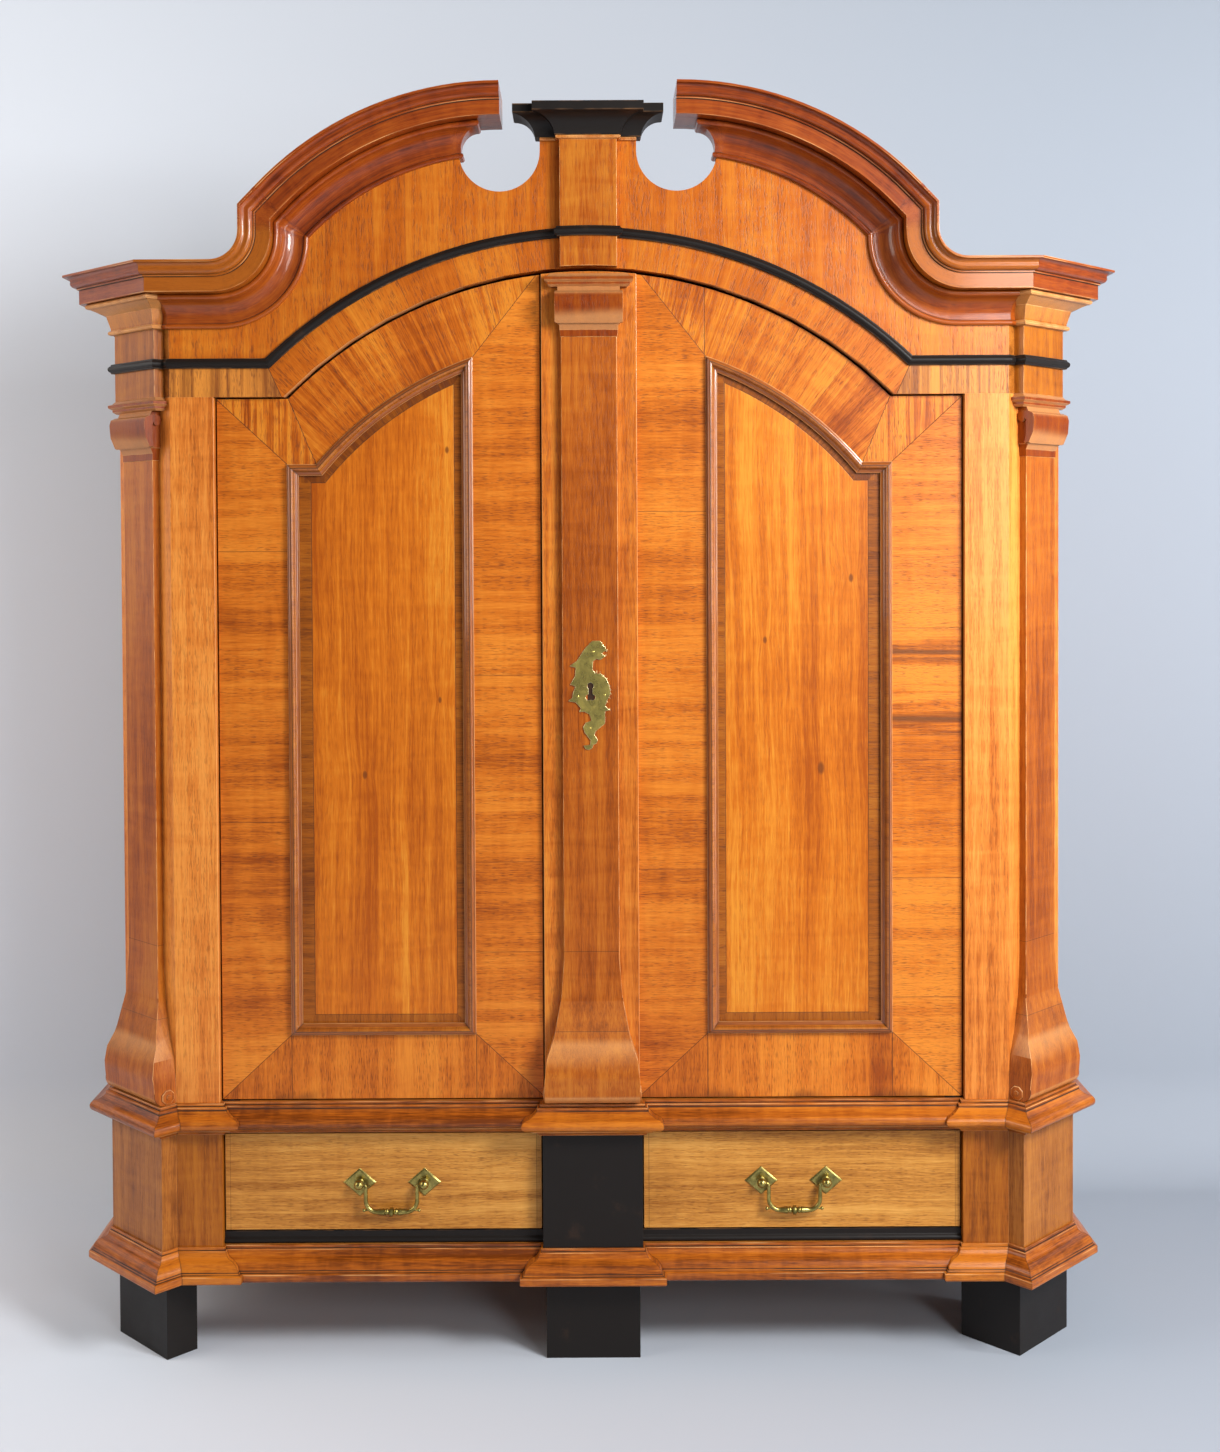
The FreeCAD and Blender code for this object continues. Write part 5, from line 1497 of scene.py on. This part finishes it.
# Boards that keep the solid's shape get eased arrises.

boards = ("left_door_frame", "right_door_frame", "left_door_panel", "right_door_panel",
          "left_drawer_front", "right_drawer_front", "corner_post_left", "corner_post_right",
          "base_posts", "base_corner_blocks", "base_sides", "side_frames", "side_panels",
          "closing_strip", "frieze_board", "cupboard_floor", "centre_foot", "corner_foot_left",
          "corner_foot_right", "rear_feet", "centre_plinth_block", "hood_case")


def easeBoards():
    for name in boards:
        weld = nodes[name].modifiers.new("weld", "WELD")
        weld.merge_threshold = 1e-5
        bevel = nodes[name].modifiers.new("arris", "BEVEL")
        bevel.width = 0.0011
        bevel.segments = 2
        bevel.limit_method = "ANGLE"
        bevel.angle_limit = math.radians(33)


easeBoards()
print("arrises eased on", len(boards), "boards")


# Studio

studio = {
    "eye": (0.0, -3.4425, 1.5),
    "pitch": 88.8,
    "roll": -0.28,
    "lens": 43.14,
    "shift": (0.0138, -0.0999),
    "paperLeft": (0.71, 0.76, 0.84),
    "paperRight": (0.34, 0.38, 0.44),
    "wallY": 0.75,
    "bend": 0.22,
    "paperHalf": 9.0,
    "paperTop": 6.0,
    "aim": (0.0, -0.2, 1.15),
    "lamps": {
        "key": ((2.0, -2.1, 2.45), (0.9, 0.9), 114.0, (1.0, 1.0, 1.0)),
        "fill": ((-3.5, -0.9, 2.3), (2.4, 2.4), 78.0, (1.0, 0.93, 0.84)),
        "window": ((2.3, -4.7, 2.1), (1.3, 1.9), 70.0, (1.0, 1.0, 1.0)),
        "edge": ((3.3, -0.9, 1.35), (0.5, 2.5), 38.0, (1.0, 1.0, 1.0)),
    },
    "sky": 0.14,
    "skyColour": (0.93, 0.96, 1.0),
}


def makeCamera():
    camera = addObject("camera", bpy.data.cameras.new("camera"))
    camera.data.lens = studio["lens"]
    camera.data.sensor_width = 36.0
    camera.data.shift_x, camera.data.shift_y = studio["shift"]
    camera.matrix_world = (Matrix.Translation(studio["eye"])
                           @ Matrix.Rotation(math.radians(studio["pitch"]), 4, "X")
                           @ Matrix.Rotation(math.radians(studio["roll"]), 4, "Z"))
    scene.camera = camera


def makePaper():
    # A sheet that bends up from the floor, clear from behind so that the case shows there too.
    material, tree = startMaterial("palePaper")
    x, y, z = splitVector(objectPlace(tree))
    # Painted light and shade: the paper is lighter to the left, where the case casts its shadow,
    # and darker to the right, where the lamps are strong.
    paperPaintedLightAndShade = mixColours(x.between(-1.6, 1.4), studio["paperLeft"], studio["paperRight"])
    surface = addNode(tree, "ShaderNodeBsdfPrincipled", None,
                      {"Base Color": paperPaintedLightAndShade, "Roughness": 0.9})
    behind = addNode(tree, "ShaderNodeNewGeometry", None, None, "Backfacing")
    clear = addNode(tree, "ShaderNodeBsdfTransparent")
    surface = addNode(tree, "ShaderNodeMixShader", None, {0: behind, 1: surface, 2: clear})
    addNode(tree, "ShaderNodeOutputMaterial", None, {"Surface": surface})
    wall, bend, half, top = [studio[key] for key in ("wallY", "bend", "paperHalf", "paperTop")]
    angles = [math.pi * i / 32 for i in range(17)]
    outline = [(-half, 0.0), *[(wall - bend + bend * math.sin(a), bend - bend * math.cos(a))
                               for a in angles], (wall, top)]
    sheet = bpy.data.meshes.new("paper")
    sheet.from_pydata([(x, y, z) for y, z in outline for x in (-half, half)], [],
                      [(2 * i, 2 * i + 1, 2 * i + 3, 2 * i + 2)
                       for i in range(len(outline) - 1)])
    sheet.materials.append(material)
    sheet.polygons.foreach_set("use_smooth", [True] * len(sheet.polygons))
    paper = addObject("paper", sheet)


def makeLight():
    for name, (place, size, power, colour) in studio["lamps"].items():
        lamp = bpy.data.lights.new(name, "AREA")
        lamp.shape = "RECTANGLE"
        lamp.size, lamp.size_y = size
        lamp.energy = power
        lamp.color = colour
        holder = addObject(name, lamp)
        turn = (Vector(studio["aim"]) - Vector(place)).to_track_quat("-Z", "Y")
        holder.matrix_world = Matrix.Translation(place) @ turn.to_matrix().to_4x4()
    world = bpy.data.worlds.new("air")
    world.use_nodes = True
    air = world.node_tree.nodes["Background"]
    air.inputs[0].default_value = (*studio["skyColour"], 1.0)
    air.inputs[1].default_value = studio["sky"]
    scene.world = world


makeCamera()
makePaper()
makeLight()
print("studio ready")
